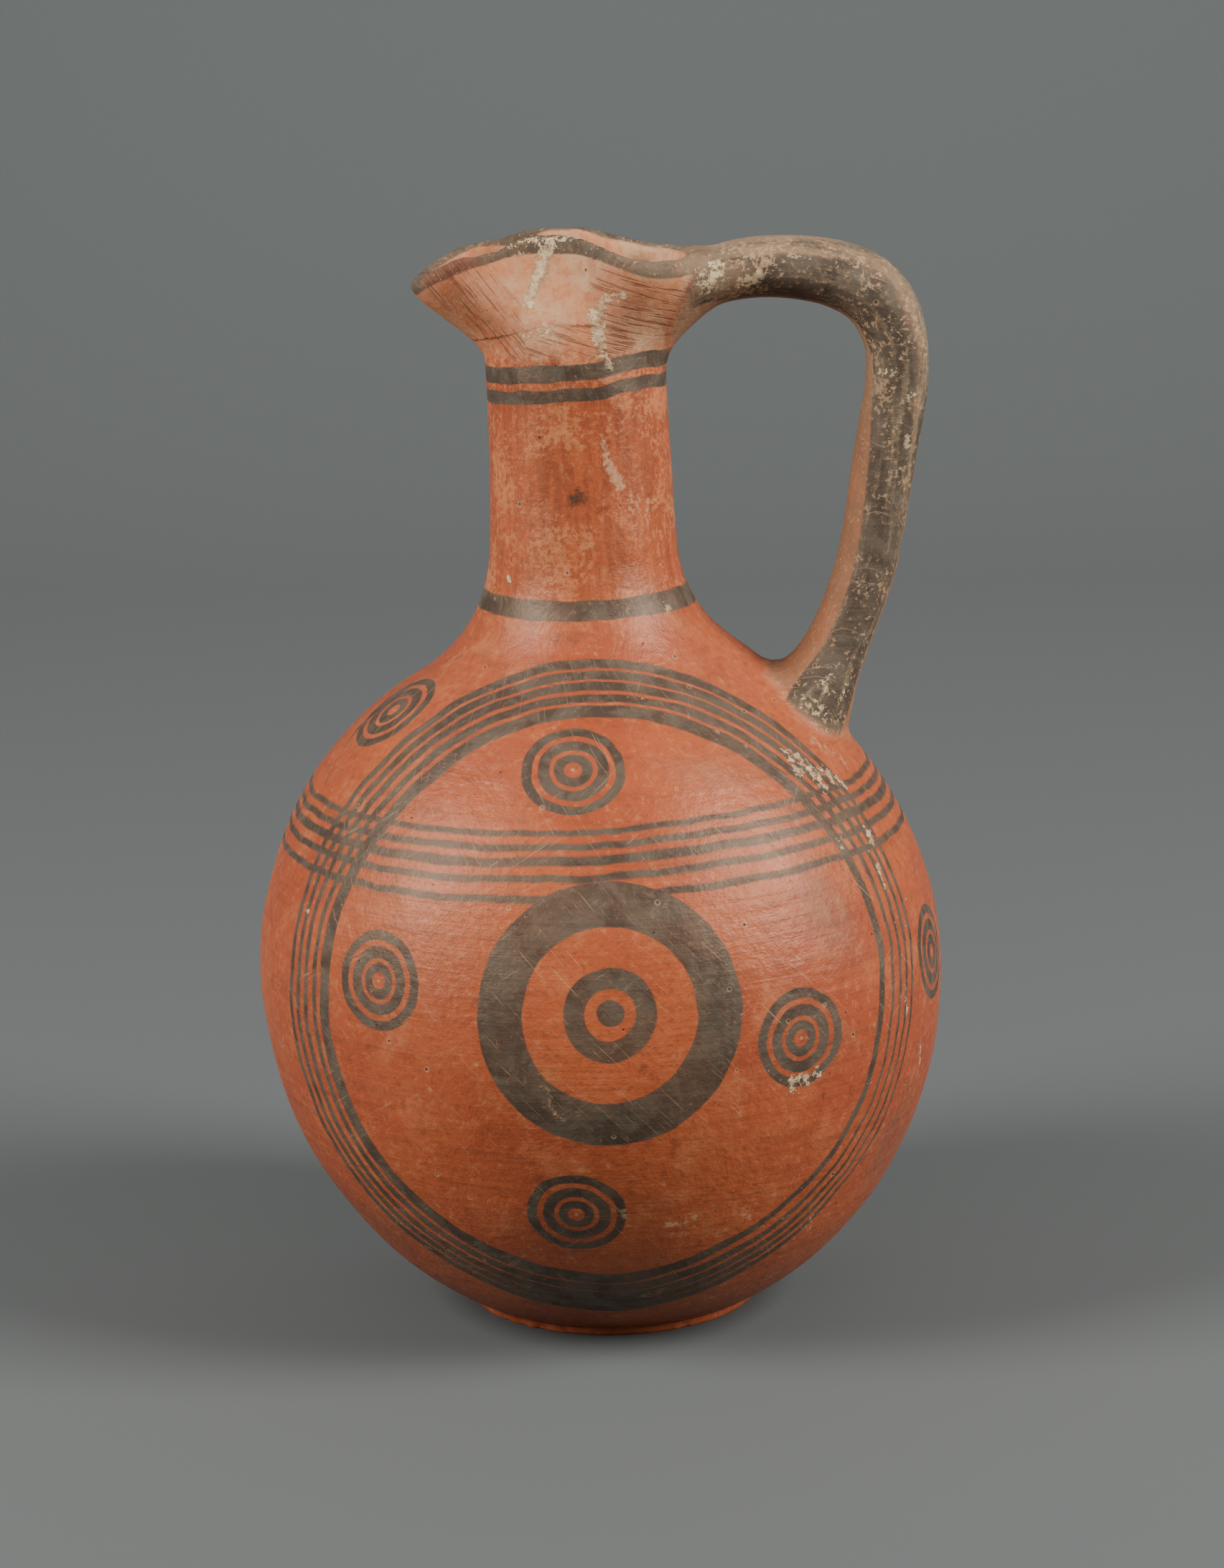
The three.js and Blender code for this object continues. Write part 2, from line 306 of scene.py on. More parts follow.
def foot_chip(bearing, height, radius, bite):
    """The ball that takes a chip as deep as bite out of the foot's edge."""
    reach = FOOT_RADIUS + radius - bite
    angle = math.radians(bearing)
    return reach * math.sin(angle), -reach * math.cos(angle), height, radius


# Chips knocked out of the foot's edge and nicks in the lip: middle and radius of each ball
CHIPS = [
    foot_chip(-47, 0.6, 2.6, 0.8), foot_chip(-38, 0.9, 3.4, 1.0), foot_chip(-29, 0.4, 2.2, 0.7),
    foot_chip(-18, 0.8, 1.9, 0.5), foot_chip(31, 0.6, 2.4, 0.6), foot_chip(112, 0.7, 3.0, 0.9),
    foot_chip(198, 0.8, 2.8, 0.8), foot_chip(-118, 0.6, 3.2, 0.9),
    (-27.6, -8.6, 237.8, 2.0), (-12.0, -11.2, 241.4, 2.1), (9.6, -12.4, 238.6, 1.9),
    (-6.0, 12.6, 242.8, 2.2), (8.0, 13.0, 239.6, 2.0), (-30.0, 6.4, 238.4, 1.9),
]


# Unevenness left by the hand: depth in millimetres, length of the waves and seed
WALL_WAVES = [(0.28, 62.0, 11), (0.09, 17.0, 4)]
LIP_WAVES = (0.22, 13.0, 7)
STRAP_WAVES = (0.16, 21.0, 21)
FOOT_REACH = 3.0
ROOT_FILLET = 4.5
FLOOR_CURVE = 5.0


def chipped(side, place):
    """Takes the chips out of the clay."""
    for x, y, z, radius in CHIPS:
        near = np.abs(place[:, 2] - z) < radius + 3.0
        gap = np.linalg.norm((place[near] - (x, y, z)) * (1.0, 1.0, 1.3), axis=1)
        side[near] = cut(side[near], radius - gap, 0.35)
    return side


def clay(place):
    """Distance outside the clay, at places in millimetres in the upright frame."""
    x, y, z = place.T
    side, over_rim = outer_side(place)
    (broad, *broad_kind), (fine, *fine_kind) = WALL_WAVES
    uneven = hand_waves(place * (1.0, 1.0, 1.7), *broad_kind) * broad
    uneven += hand_waves(place, *fine_kind) * fine
    side = side + uneven * smooth_step(z, 4.0, 30.0)
    smear = np.exp(-((x - SMEAR_X) / 11.0) ** 2 - ((z - SMEAR_HEIGHT) / 11.0) ** 2
                   - (y / 15.0) ** 2)
    outer = side - SMEAR_RISE * smear

    lip = over_rim + WALL / 2 + hand_waves(place, *LIP_WAVES[1:]) * LIP_WAVES[0]
    across = outer + WALL / 2
    filled = (np.hypot(np.maximum(across, 0), np.maximum(lip, 0))
              + np.minimum(np.maximum(across, lip), 0) - WALL / 2)

    foot = np.hypot(x, y) - FOOT_RADIUS
    foot = np.maximum(foot, z - FOOT_HEIGHT - FOOT_REACH)
    body = cut(filled, FOOT_HEIGHT - z, 0.5)
    body = join(body, foot, 0.5)
    body = cut(body, -z, 0.7)

    handle = np.full(len(place), FAR)
    near = near_handle(place)
    handle[near] = (handle_side(place[near])
                    + hand_waves(place[near], *STRAP_WAVES[1:]) * STRAP_WAVES[0])
    blend = ROOT_FILLET + 0.5 * smooth_step(-z, -190.0, -160.0)
    joined = join(body, handle, blend)

    rounded = np.sqrt(np.maximum((WALL / 2) ** 2 - np.clip(lip, 0, WALL / 2) ** 2, 0))
    inner_edge = -WALL / 2 - rounded + np.maximum(lip - WALL / 2, 0)
    hollow = cut(side - inner_edge, FLOOR - z, FLOOR_CURVE)
    return chipped(cut(joined, -hollow, 0.4), place)


# A closed net over the clay, on rings around the axis
def ring_radii():
    near = np.arange(0.0, 30.5, 2.3)
    foot_edge = np.arange(31.2, 34.4, 0.5)
    rest = np.arange(35.0, 83.0, 2.2)
    return np.concatenate([near, foot_edge, rest])


def ring_heights():
    foot_part = np.arange(-1.6, 4.0, 0.55)
    body_part = np.arange(4.4, 176.0, 2.3)
    top_part = np.arange(176.9, 244.0, 1.3)
    return np.concatenate([foot_part, body_part, top_part])


SIDES = 222


def ring_net():
    radii, heights = ring_radii(), ring_heights()
    turns = np.arange(SIDES) * math.tau / SIDES
    grid_turn, grid_radius, grid_height = np.meshgrid(turns, radii, heights, indexing="ij")
    places = np.stack([grid_radius * np.cos(grid_turn), grid_radius * np.sin(grid_turn),
                       grid_height], axis=-1)
    shape = places.shape[:3]
    values = clay(places.reshape(-1, 3)).reshape(shape)
    values = np.where(values == 0, 1e-6, values)
    inside = values < 0

    # each cell that the face passes through gets one corner, the mean of its crossings
    sums = np.zeros((shape[0], shape[1] - 1, shape[2] - 1, 3))
    hits = np.zeros(sums.shape[:3])
    corners = [(a, b, c) for a in (0, 1) for b in (0, 1) for c in (0, 1)]

    def corner(block, where):
        turned = np.roll(block, -where[0], axis=0)
        return turned[:, where[1]:shape[1] - 1 + where[1], where[2]:shape[2] - 1 + where[2]]

    for start in corners:
        for axis in range(3):
            if start[axis]:
                continue
            end = tuple(1 if k == axis else start[k] for k in range(3))
            a, b = corner(values, start), corner(values, end)
            crossing = (a < 0) != (b < 0)
            share = np.where(crossing, a / np.where(crossing, a - b, 1), 0)[..., None]
            point = corner(places, start) * (1 - share) + corner(places, end) * share
            sums += np.where(crossing[..., None], point, 0)
            hits += crossing
    used = hits > 0
    index = np.full(used.shape, -1)
    index[used] = np.arange(used.sum())
    points = sums[used] / hits[used][:, None]

    quads = []

    def add(cells, flip):
        loop = np.stack(cells, axis=1)
        quads.append(np.where(flip[:, None], loop[:, ::-1], loop))

    # edges that run around
    a, b = inside, np.roll(inside, -1, axis=0)
    t, r, h = np.nonzero((a != b)[:, 1:-1, 1:-1])
    r, h = r + 1, h + 1
    add([index[t, r - 1, h - 1], index[t, r, h - 1], index[t, r, h], index[t, r - 1, h]],
        a[t, r, h])
    # edges that run outwards
    a, b = inside[:, :-1], inside[:, 1:]
    t, r, h = np.nonzero((a != b)[:, :, 1:-1])
    h = h + 1
    back = (t - 1) % shape[0]
    add([index[back, r, h - 1], index[back, r, h], index[t, r, h], index[t, r, h - 1]], a[t, r, h])
    # edges that run upwards
    a, b = inside[:, :, :-1], inside[:, :, 1:]
    t, r, h = np.nonzero((a != b)[:, 1:-1])
    r = r + 1
    back = (t - 1) % shape[0]
    add([index[back, r - 1, h], index[t, r - 1, h], index[t, r, h], index[back, r, h]], a[t, r, h])
    faces = np.concatenate(quads).tolist()

    # the axis: close the ring of corners around it with one middle corner for each level crossed
    extra = []
    level = inside[0, 0]
    for h in np.nonzero(level[:-1] != level[1:])[0]:
        ring = index[:, 0, h]
        middle = len(points) + len(extra)
        extra.append(points[ring].mean(axis=0))
        for t in range(SIDES):
            tri = (middle, ring[t - 1], ring[t])
            faces.append(tri if level[h] else tri[::-1])
    if extra:
        points = np.vstack([points, extra])
    return points, faces


def settle(points):
    """Moves the net's corners onto the clay's face."""
    reach = 0.15
    for _ in range(3):
        value = clay(points)
        slope = np.empty_like(points)
        for axis in range(3):
            shift = np.zeros(3)
            shift[axis] = reach
            slope[:, axis] = (clay(points + shift) - clay(points - shift)) / (2 * reach)
        length = np.maximum((slope ** 2).sum(axis=1), 0.25)
        points = points - slope * np.clip(value / length, -0.8, 0.8)[:, None]
    points[:, 2] = np.maximum(points[:, 2], 0.0)
    return points


# Where things lie on the fired clay, worked out for each corner of the net
def on_body(bearing, height):
    """A place on the body or neck. Bearing 0 faces the front, 90 the handle, -90 the spout."""
    if height < BELLY_HEIGHT:
        radius = BODY_RADIUS * math.sqrt(1 - ((BELLY_HEIGHT - height) / belly_depth) ** 2)
    elif height < BELLY_HEIGHT + BODY_RADIUS * fillet_rise / (BODY_RADIUS + SHOULDER_FILLET):
        radius = math.sqrt(BODY_RADIUS ** 2 - (height - BELLY_HEIGHT) ** 2)
    elif height < fillet_height:
        radius = fillet_radius - math.sqrt(SHOULDER_FILLET ** 2 - (fillet_height - height) ** 2)
    else:
        radius = NECK_RADIUS + 0.4
    angle = math.radians(bearing)
    return (radius * math.sin(angle), -radius * math.cos(angle), height)


# Each mark is a short stroke: its start and end, its radius and its strength. The ends are given
# as x, y and height, or as bearing and height on the body.
# Cream lime deposits
DEPOSITS = [
    (-17.0, -10.0, 237.8, -9.0, -9.6, 239.8, 2.2, 0.55),
    (-9.0, -10.0, 239.6, 1.0, -11.4, 240.2, 2.0, 0.7),
    (-3.6, -10.6, 238.4, -5.6, -10.8, 235.6, 1.7, 0.9),
    (-5.6, -10.8, 235.6, -7.1, -12.4, 230.6, 1.5, 0.95),
    (-7.1, -12.4, 230.6, -9.2, -14.6, 226.3, 1.2, 0.95),
    (-11.0, -17.0, 219.6, -4.0, -18.6, 220.6, 2.4, 0.5),
    (11.8, -19.6, 228.6, 8.0, -19.4, 227.4, 0.9, 0.9),
    (8.0, -19.4, 227.4, 5.4, -18.5, 224.4, 1.2, 0.9),
    (5.4, -18.5, 224.4, 5.6, -18.9, 219.5, 1.7, 0.95),
    (5.6, -18.9, 219.5, 7.7, -18.1, 213.4, 1.3, 0.85),
    (31.3, -11.2, 233.6, 29.8, -12.6, 229.2, 2.0, 0.85),
    (26.6, -12.0, 231.6, 29.8, -12.6, 229.2, 2.0, 0.6),
    (37.0, -10.2, 228.8, 40.2, -10.2, 230.8, 1.5, 0.85),
    (41.0, -9.2, 234.4, 50.0, -9.2, 234.6, 1.2, 0.5),
    (65.4, -7.7, 209.7, 69.0, -10.3, 209.5, 1.2, 0.75),
    (72.3, -9.7, 204.9, 71.3, -9.5, 203.4, 0.9, 0.9),
    (68.9, -10.5, 198.6, 68.7, -10.5, 197.4, 0.8, 0.9),
    (71.3, -9.5, 196.0, 71.0, -9.5, 193.4, 1.0, 0.85),
    (51.7, -12.5, 146.0, 51.9, -13.4, 141.5, 1.9, 0.55),
    (56.6, -11.3, 142.2, 55.2, -12.2, 139.4, 1.9, 0.55),
    (46.8, -15.4, 138.6, 51.1, -15.1, 136.0, 2.0, 0.6),
    (51.1, -15.1, 136.0, 52.4, -15.2, 132.6, 1.8, 0.5), (54.5, 131.5, 53.0, 127.5, 1.5, 0.8),
    (57.0, 129.5, 57.5, 123.5, 1.7, 0.75), (60.5, 127.0, 61.5, 124.0, 1.2, 0.7),
    (63.5, 125.5, 65.0, 122.0, 1.1, 0.8), (63.4, 114.0, 63.8, 111.0, 1.2, 0.95),
    (53.0, 113.5, 53.3, 112.0, 0.9, 0.8), (60.8, 110.0, 62.2, 101.0, 0.9, 0.7),
    (62.2, 96.0, 62.4, 85.0, 0.8, 0.6), (61.6, 80.0, 61.8, 74.0, 0.7, 0.6),
    (33.4, 68.0, 33.6, 64.4, 1.1, 1.0), (35.5, 67.0, 37.6, 66.2, 1.3, 0.9),
    (39.2, 69.0, 38.6, 66.6, 0.8, 0.9), (-1.0, 57.2, -0.9, 56.4, 0.9, 0.9),
    (12.3, 72.2, 12.8, 71.2, 0.7, 1.0), (67.6, 98.0, 67.5, 96.8, 0.7, 1.0),
    (57.8, 55.8, 58.0, 54.8, 0.6, 0.9), (-49.4, 167.6, -48.6, 166.8, 1.0, 0.9),
    (51.5, 160.2, 53.5, 159.4, 1.3, 0.7), (-57.2, 101.0, -57.0, 99.2, 0.8, 0.7),
    (70.0, 64.0, 70.3, 58.0, 1.1, 0.75),
]
# Thin pale scuffs, where the slip is rubbed or a film of lime is left
SCUFFS = [
    (18.0, 197.0, 19.4, 192.5, 1.0, 0.75), (19.4, 192.5, 27.0, 186.8, 1.3, 0.9),
    (33.0, 185.5, 33.2, 181.2, 0.8, 0.6), (40.0, 184.0, 40.4, 181.2, 0.9, 0.5),
    (47.5, 183.5, 46.6, 179.4, 0.9, 0.6), (47.5, 183.6, 57.0, 182.4, 0.8, 0.5),
    (12.6, 36.0, 18.0, 37.4, 0.9, 1.0), (14.0, 33.6, 24.0, 32.4, 1.6, 0.45),
    (25.8, 38.4, 29.4, 35.4, 0.8, 0.9), (28.0, 12.0, 35.0, 13.0, 1.1, 0.6),
    (27.0, 15.6, 32.0, 17.0, 0.9, 0.5), (45.5, 30.4, 47.0, 27.4, 1.1, 0.7),
    (36.0, 33.0, 42.0, 34.0, 1.0, 0.5), (10.0, 15.5, 14.0, 17.4, 1.2, 0.6),
    (44.0, 13.0, 50.0, 19.0, 1.4, 0.5), (-22.0, 43.6, -23.0, 41.6, 1.2, 0.5),
    (-46.0, 30.6, -30.0, 30.2, 0.7, 0.55), (-42.0, 25.0, -24.0, 25.4, 0.7, 0.5),
    (72.0, 138.0, 72.5, 132.0, 2.4, 0.6), (67.0, 131.0, 72.0, 126.0, 2.4, 0.5),
    (-13.5, 71.4, -10.4, 71.6, 0.5, 0.8), (-6.8, 70.0, -6.0, 66.2, 0.6, 0.8),
    (-6.2, 66.0, -4.6, 62.6, 0.8, 0.8), (-14.4, 68.6, -13.6, 64.8, 0.5, 0.6),
    (5.2, 41.0, 4.8, 38.4, 0.6, 0.8), (-23.0, 4.0, -12.0, 3.2, 0.9, 0.6),
]
# Dark smudges: soot, stains and knocks
STAINS = [
    (-3.0, 184.4, 2.4, 184.8, 1.3, 1.0), (0.6, 187.0, 0.8, 185.0, 1.0, 0.8),
    (5.8, 190.6, 6.0, 188.2, 1.3, 0.5), (-35.4, 113.0, -36.0, 109.4, 0.9, 0.6),
    (47.8, 93.0, 46.4, 89.0, 0.9, 0.5), (-28.4, 126.8, -28.3, 126.2, 0.8, 0.7),
    (-17.4, 133.2, -17.0, 132.8, 0.7, 0.6), (40.2, 62.8, 40.8, 61.8, 1.2, 0.6),
    (66.4, 77.4, 66.6, 76.8, 1.3, 0.5), (63.5, 46.0, 68.0, 43.0, 5.6, 0.42),
    (62.0, 39.0, 66.0, 41.0, 4.2, 0.38), (-17.0, 154.9, -2.0, 154.8, 0.5, 0.5),
    (45.6, 77.4, 46.0, 75.4, 0.8, 0.4), (69.1, -10.4, 202.6, 71.6, -9.4, 201.8, 0.7, 0.8),
]
# Where the mouth's slip is rubbed down to the paler clay
RUBBED = [
    (22.0, -12.0, 235.0, 33.0, -12.0, 229.0, 5.5, 1.0),
    (24.0, -1.0, 239.5, 56.0, 0.0, 241.0, 5.6, 1.0),
    (24.0, 7.0, 238.0, 58.0, 7.0, 238.0, 6.0, 0.9),
    (38.0, -8.6, 236.6, 58.0, -8.6, 235.6, 1.7, 0.85),
    (58.0, -6.0, 236.5, 69.0, -7.6, 229.5, 3.2, 0.75),
    (69.5, -8.6, 227.8, 73.5, -7.6, 216.0, 2.2, 0.75),
    (74.0, -8.0, 216.0, 72.6, -8.4, 192.0, 1.6, 0.7),
    (72.6, -8.4, 192.0, 63.0, -9.4, 150.0, 1.4, 0.55),
    (62.6, -8.6, 216.0, 64.5, -8.8, 206.0, 1.4, 0.6),
    (59.0, -8.0, 224.0, 62.6, -8.6, 216.0, 1.6, 0.6),
    (62.6, -8.6, 204.0, 57.0, -9.6, 165.0, 1.2, 0.6),
]
# Where the wet clay of the mouth was wiped and scraped
WIPED = [
    (-26.0, -12.0, 233.0, -17.0, -14.5, 223.0, 5.5, 1.0),
    (10.0, -19.0, 228.0, 24.0, -14.0, 222.0, 5.5, 1.0),
    (-14.0, -16.0, 217.5, 14.0, -18.0, 219.5, 3.4, 0.9),
    (22.0, -14.0, 228.0, 40.0, -9.0, 229.0, 3.5, 0.8),
    (50.0, -9.0, 230.0, 68.0, -9.0, 222.0, 4.0, 0.5),
    (70.0, -9.0, 205.0, 56.0, -11.0, 150.0, 4.0, 0.5),
]
# Broad faint clouds of smoke grey, and strokes of painted shade under the lip and along the
# handle's inner face
SMOKE_AND_SHADE = [
    (43.0, 106.0, 47.0, 97.0, 6.5, 0.55), (65.0, 46.0, 68.0, 40.0, 9.0, 0.9),
    (24.0, 132.0, 34.0, 128.0, 6.0, 0.4), (-52.0, 26.0, -20.0, 20.0, 8.0, 0.5),
    (10.0, 20.0, 50.0, 22.0, 7.0, 0.35), (-150.0, 60.0, -120.0, 50.0, 10.0, 0.5),
    (62.0, -6.0, 210.0, 53.0, -7.0, 158.0, 6.0, 0.6),
    (13.0, -19.0, 226.0, 22.0, -15.5, 224.0, 4.0, 0.4),
    (-24.0, -13.0, 228.0, -17.0, -15.0, 222.0, 4.0, 0.4),
]


def marks(place, table):
    """How deep each place lies in the marks of a table: 0 outside, 1 in the middle of one."""
    deepest = np.zeros(len(place))
    for *ends, radius, strength in table:
        if len(ends) == 4:
            ends = on_body(*ends[:2]) + on_body(*ends[2:])
        start, end = np.array(ends[:3]), np.array(ends[3:])
        way = end - start
        share = np.clip((place - start) @ way / max(way @ way, 1e-6), 0, 1)
        gap = np.linalg.norm(place - start - share[:, None] * way, axis=1)
        deepest = np.maximum(deepest, strength * np.clip(1.25 - gap / radius * 0.75, 0, 1))
    return deepest


def add_attribute(mesh, name, columns):
    layer = mesh.attributes.new(name, "FLOAT_VECTOR", "POINT")
    layer.data.foreach_set("vector", np.stack(columns, axis=1).astype(np.float32).ravel())


# Compass pricks of the small circles as bearing and height, and how far each circle reaches
SMALL_CIRCLES = [
    (-2.2, 132.4, 11.1), (-36.3, 89.3, 10.8), (35.6, 76.3, 10.8), (-3.7, 39.9, 10.7),
    (76.0, 83.4, 10.6), (-68.6, 138.2, 11.0), (-92.0, 80.0, 10.7), (104.0, 83.0, 10.7),
    (182.0, 132.4, 11.0), (144.0, 88.0, 10.8), (-143.0, 78.0, 10.8), (176.0, 40.5, 10.8),
    (-112.0, 138.0, 10.8), (118.0, 138.0, 10.8),
]
# The prick of the big circles at the front. Those at the back are the same, turned half round
FRONT_PRICK = np.array([4.9, -75.5, 85.9])

# The hand's drift around the big circles, against the turn in degrees from straight up
# (clockwise): how far the first line lies from the prick, how wide the group of five is,
# how thick its first line and its others are, and the drift of the bull's-eye
FIRST_EDGE = [(-180, 65.1), (-150, 65.5), (-135, 66.3), (-120, 66.0), (-100, 66.2), (-90, 65.4),
              (-75, 65.0), (-60, 64.2), (-50, 63.8), (-40, 64.0), (-30, 65.0), (-15, 65.3),
              (0, 65.4), (30, 65.0), (45, 64.6), (60, 64.8), (85, 65.0), (95, 64.0),
              (105, 63.6), (115, 64.1), (125, 63.9), (135, 63.1), (160, 62.8), (170, 63.8),
              (180, 65.1)]
GROUP_WIDTH = [(-180, 15.6), (-120, 15.0), (-90, 14.2), (-50, 15.6), (-30, 16.2), (0, 15.3),
               (20, 16.4), (45, 15.2), (60, 14.4), (75, 14.0), (105, 13.3), (135, 12.9),
               (150, 13.4), (180, 15.6)]
FIRST_LINE = [(-180, 3.6), (-130, 3.5), (-50, 3.2), (30, 3.5), (60, 2.9), (90, 2.2), (115, 1.9),
              (150, 2.1), (180, 3.6)]
OTHER_LINES = [(-180, 3.1), (-160, 2.7), (-140, 2.0), (-110, 1.5), (-75, 1.4), (-50, 1.8),
               (-30, 2.2), (20, 2.4), (45, 2.0), (60, 1.5), (90, 1.15), (110, 0.85),
               (130, 1.0), (145, 1.7), (160, 2.3), (180, 3.1)]
RING_DRIFT = [(-180, 1.7), (-150, 2.1), (-125, 1.8), (-100, 0.7), (-75, 0.3), (0, 0.0),
              (60, 0.4), (120, 0.6), (150, 0.9), (180, 1.7)]
# Rise of the lines around the belly, and of the neck bands, by bearing
LINE_RISE = [(-180, 0.2), (-130, 0.0), (-80, -0.7), (-60, -0.9), (-40, -0.9), (-20, -0.5),
             (0, 0.0), (20, 1.1), (40, 1.6), (60, 1.8), (80, 1.6), (130, 1.0), (180, 0.2)]
BAND_RISE = [(-180, 0.0), (-120, -1.2), (-70, -1.7), (-35, -0.8), (0, 0.0), (20, 0.6), (30, 1.3),
             (50, 1.7), (90, 1.2), (180, 0.0)]


# Height of the fold under the lip, on the front side, by place along the mouth
FOLD_HEIGHT = [(-24.0, 216.6), (-21.2, 217.4), (-14.0, 219.2), (-7.0, 221.0), (-0.8, 221.8),
               (6.0, 221.2), (12.0, 219.8), (18.9, 218.4), (26.0, 217.6)]


def drawn_by_hand(table, value):
    return np.interp(value, *np.array(table).T)


def describe_places(mesh, place):
    side, over_rim = outer_side(place)
    outside = smooth_step(side, -WALL * 0.75, -WALL * 0.35)
    add_attribute(mesh, "lip", (over_rim, side, outside))
    fold = place[:, 2] - drawn_by_hand(FOLD_HEIGHT, place[:, 0])
    add_attribute(mesh, "fold", (fold, marks(place, WIPED), marks(place, SMOKE_AND_SHADE)))
    near = near_handle(place)
    run, out = np.zeros(len(place)), np.zeros(len(place))
    gap = np.full(len(place), FAR)
    gap[near], run[near], out[near] = handle_side(place[near], True)
    on_strap = smooth_step(side, 0.5, 2.4) * (gap < 3.0)
    add_attribute(mesh, "strap", (run / handle_run[-1], out, on_strap))
    add_attribute(mesh, "marks", (marks(place, DEPOSITS), marks(place, SCUFFS),
                                  marks(place, STAINS)))

    pricks = np.array([on_body(*circle[:2]) for circle in SMALL_CIRCLES])
    reach = np.array([circle[2] for circle in SMALL_CIRCLES]) / 10.7
    gaps = np.linalg.norm(place[:, None] - pricks, axis=2) / reach
    nearest = gaps.argmin(axis=1)
    add_attribute(mesh, "small_circle", ((place - pricks[nearest]) / reach[nearest][:, None]).T)
    half_turn = np.where(place[:, 1:2] > 0, (-1.0, -1.0, 1.0), (1.0, 1.0, 1.0))
    off = place * half_turn - FRONT_PRICK
    turn = np.degrees(np.arctan2(off[:, 0], off[:, 2]))
    add_attribute(mesh, "big_circles", (
        drawn_by_hand(FIRST_EDGE, turn), drawn_by_hand(GROUP_WIDTH, turn) / 15.5,
        drawn_by_hand(RING_DRIFT, turn)))
    add_attribute(mesh, "thickness", (
        drawn_by_hand(FIRST_LINE, turn), drawn_by_hand(OTHER_LINES, turn) / 2,
        gaps.min(axis=1)))
    bearing = np.degrees(np.arctan2(place[:, 0], -place[:, 1]))
    add_attribute(mesh, "rise", (drawn_by_hand(LINE_RISE, bearing),
                                 drawn_by_hand(BAND_RISE, bearing), marks(place, RUBBED)))


# Short names for making nodes
class Nodes:
    def __init__(self, tree):
        self.tree = tree

    def node(self, kind, **settings):
        node = self.tree.nodes.new(kind)
        for key, value in settings.items():
            setattr(node, key, value)
        return node

    def put(self, socket, value):
        if isinstance(value, bpy.types.NodeSocket):
            self.tree.links.new(value, socket)
        else:
            socket.default_value = value

    def math(self, operation, *values, clamp=False):
        node = self.node("ShaderNodeMath", operation=operation, use_clamp=clamp)
        for socket, value in zip(node.inputs, values):
            self.put(socket, value)
        return node.outputs[0]

    def most(self, *values):
        total = values[0]
        for value in values[1:]:
            total = self.math("MAXIMUM", total, value)
        return total

    def product(self, *values):
        total = values[0]
        for value in values[1:]:
            total = self.math("MULTIPLY", total, value)
        return total

    def plus(self, first, second):
        return self.math("ADD", first, second)

    def minus(self, first, second):
        return self.math("SUBTRACT", first, second)

    def scaled(self, value, factor, offset):
        return self.math("MULTIPLY_ADD", value, factor, offset)

    def absolute(self, value):
        return self.math("ABSOLUTE", value)

    def less(self, value):
        return self.math("SUBTRACT", 1.0, value, clamp=True)

    def vector(self, operation, *values):
        node = self.node("ShaderNodeVectorMath", operation=operation)
        for socket, value in zip(node.inputs, values):
            self.put(socket, value)
        single = operation in ("LENGTH", "DISTANCE", "DOT_PRODUCT")
        return node.outputs["Value" if single else "Vector"]

    def split(self, value):
        node = self.node("ShaderNodeSeparateXYZ")
        self.put(node.inputs[0], value)
        return node.outputs[0], node.outputs[1], node.outputs[2]

    def combine(self, *values):
        node = self.node("ShaderNodeCombineXYZ")
        for socket, value in zip(node.inputs, values):
            self.put(socket, value)
        return node.outputs[0]

    def step(self, value, low, high):
        node = self.node("ShaderNodeMapRange", interpolation_type="SMOOTHSTEP")
        for socket, entry in zip(node.inputs, (value, low, high)):
            self.put(socket, entry)
        return node.outputs[0]

    def span(self, value, low, high, to_low, to_high):
        node = self.node("ShaderNodeMapRange")
        for socket, entry in zip(node.inputs, (value, low, high, to_low, to_high)):
            self.put(socket, entry)
        return node.outputs[0]

    def blend(self, share, first, second):
        node = self.node("ShaderNodeMix", data_type="RGBA")
        self.put(node.inputs[0], share)
        for socket, value in ((node.inputs[6], first), (node.inputs[7], second)):
            self.put(socket, value if isinstance(value, bpy.types.NodeSocket) else (*value, 1.0))
        return node.outputs[2]

    def noise(self, place, scale, detail=3.0, rough=0.55, warp=0.0):
        node = self.node("ShaderNodeTexNoise")
        for name, value in (("Vector", place), ("Scale", scale), ("Detail", detail),
                            ("Roughness", rough), ("Distortion", warp)):
            self.put(node.inputs[name], value)
        return node.outputs["Fac"]

    def curve(self, value, points):
        """A smooth line through points; value runs from 0 to 1."""
        node = self.node("ShaderNodeFloatCurve")
        self.put(node.inputs["Value"], value)
        line = node.mapping.curves[0]
        line.points[0].location = points[0]
        line.points[1].location = points[-1]
        for x, y in points[1:-1]:
            line.points.new(x, y)
        node.mapping.update()
        return node.outputs[0]

    def attribute(self, name):
        node = self.node("ShaderNodeAttribute", attribute_name=name)
        return self.split(node.outputs["Vector"])


def new_group(name, inputs, outputs):
    """A node group with named sockets, as (Nodes, inputs by name, output node)."""
    tree = bpy.data.node_groups.new(name, "ShaderNodeTree")
    kinds = {"value": "NodeSocketFloat", "place": "NodeSocketVector"}
    for label, kind in inputs:
        tree.interface.new_socket(label, in_out="INPUT", socket_type=kinds[kind])
    for label, kind in outputs:
        tree.interface.new_socket(label, in_out="OUTPUT", socket_type=kinds[kind])
    nodes = Nodes(tree)
    entry = nodes.node("NodeGroupInput")
    out = nodes.node("NodeGroupOutput")
    return nodes, entry.outputs, out.inputs


def use_group(nodes, name, **values):
    node = nodes.node("ShaderNodeGroup", node_tree=bpy.data.node_groups[name])
    for label, value in values.items():
        nodes.put(node.inputs[label], value)
    return node.outputs


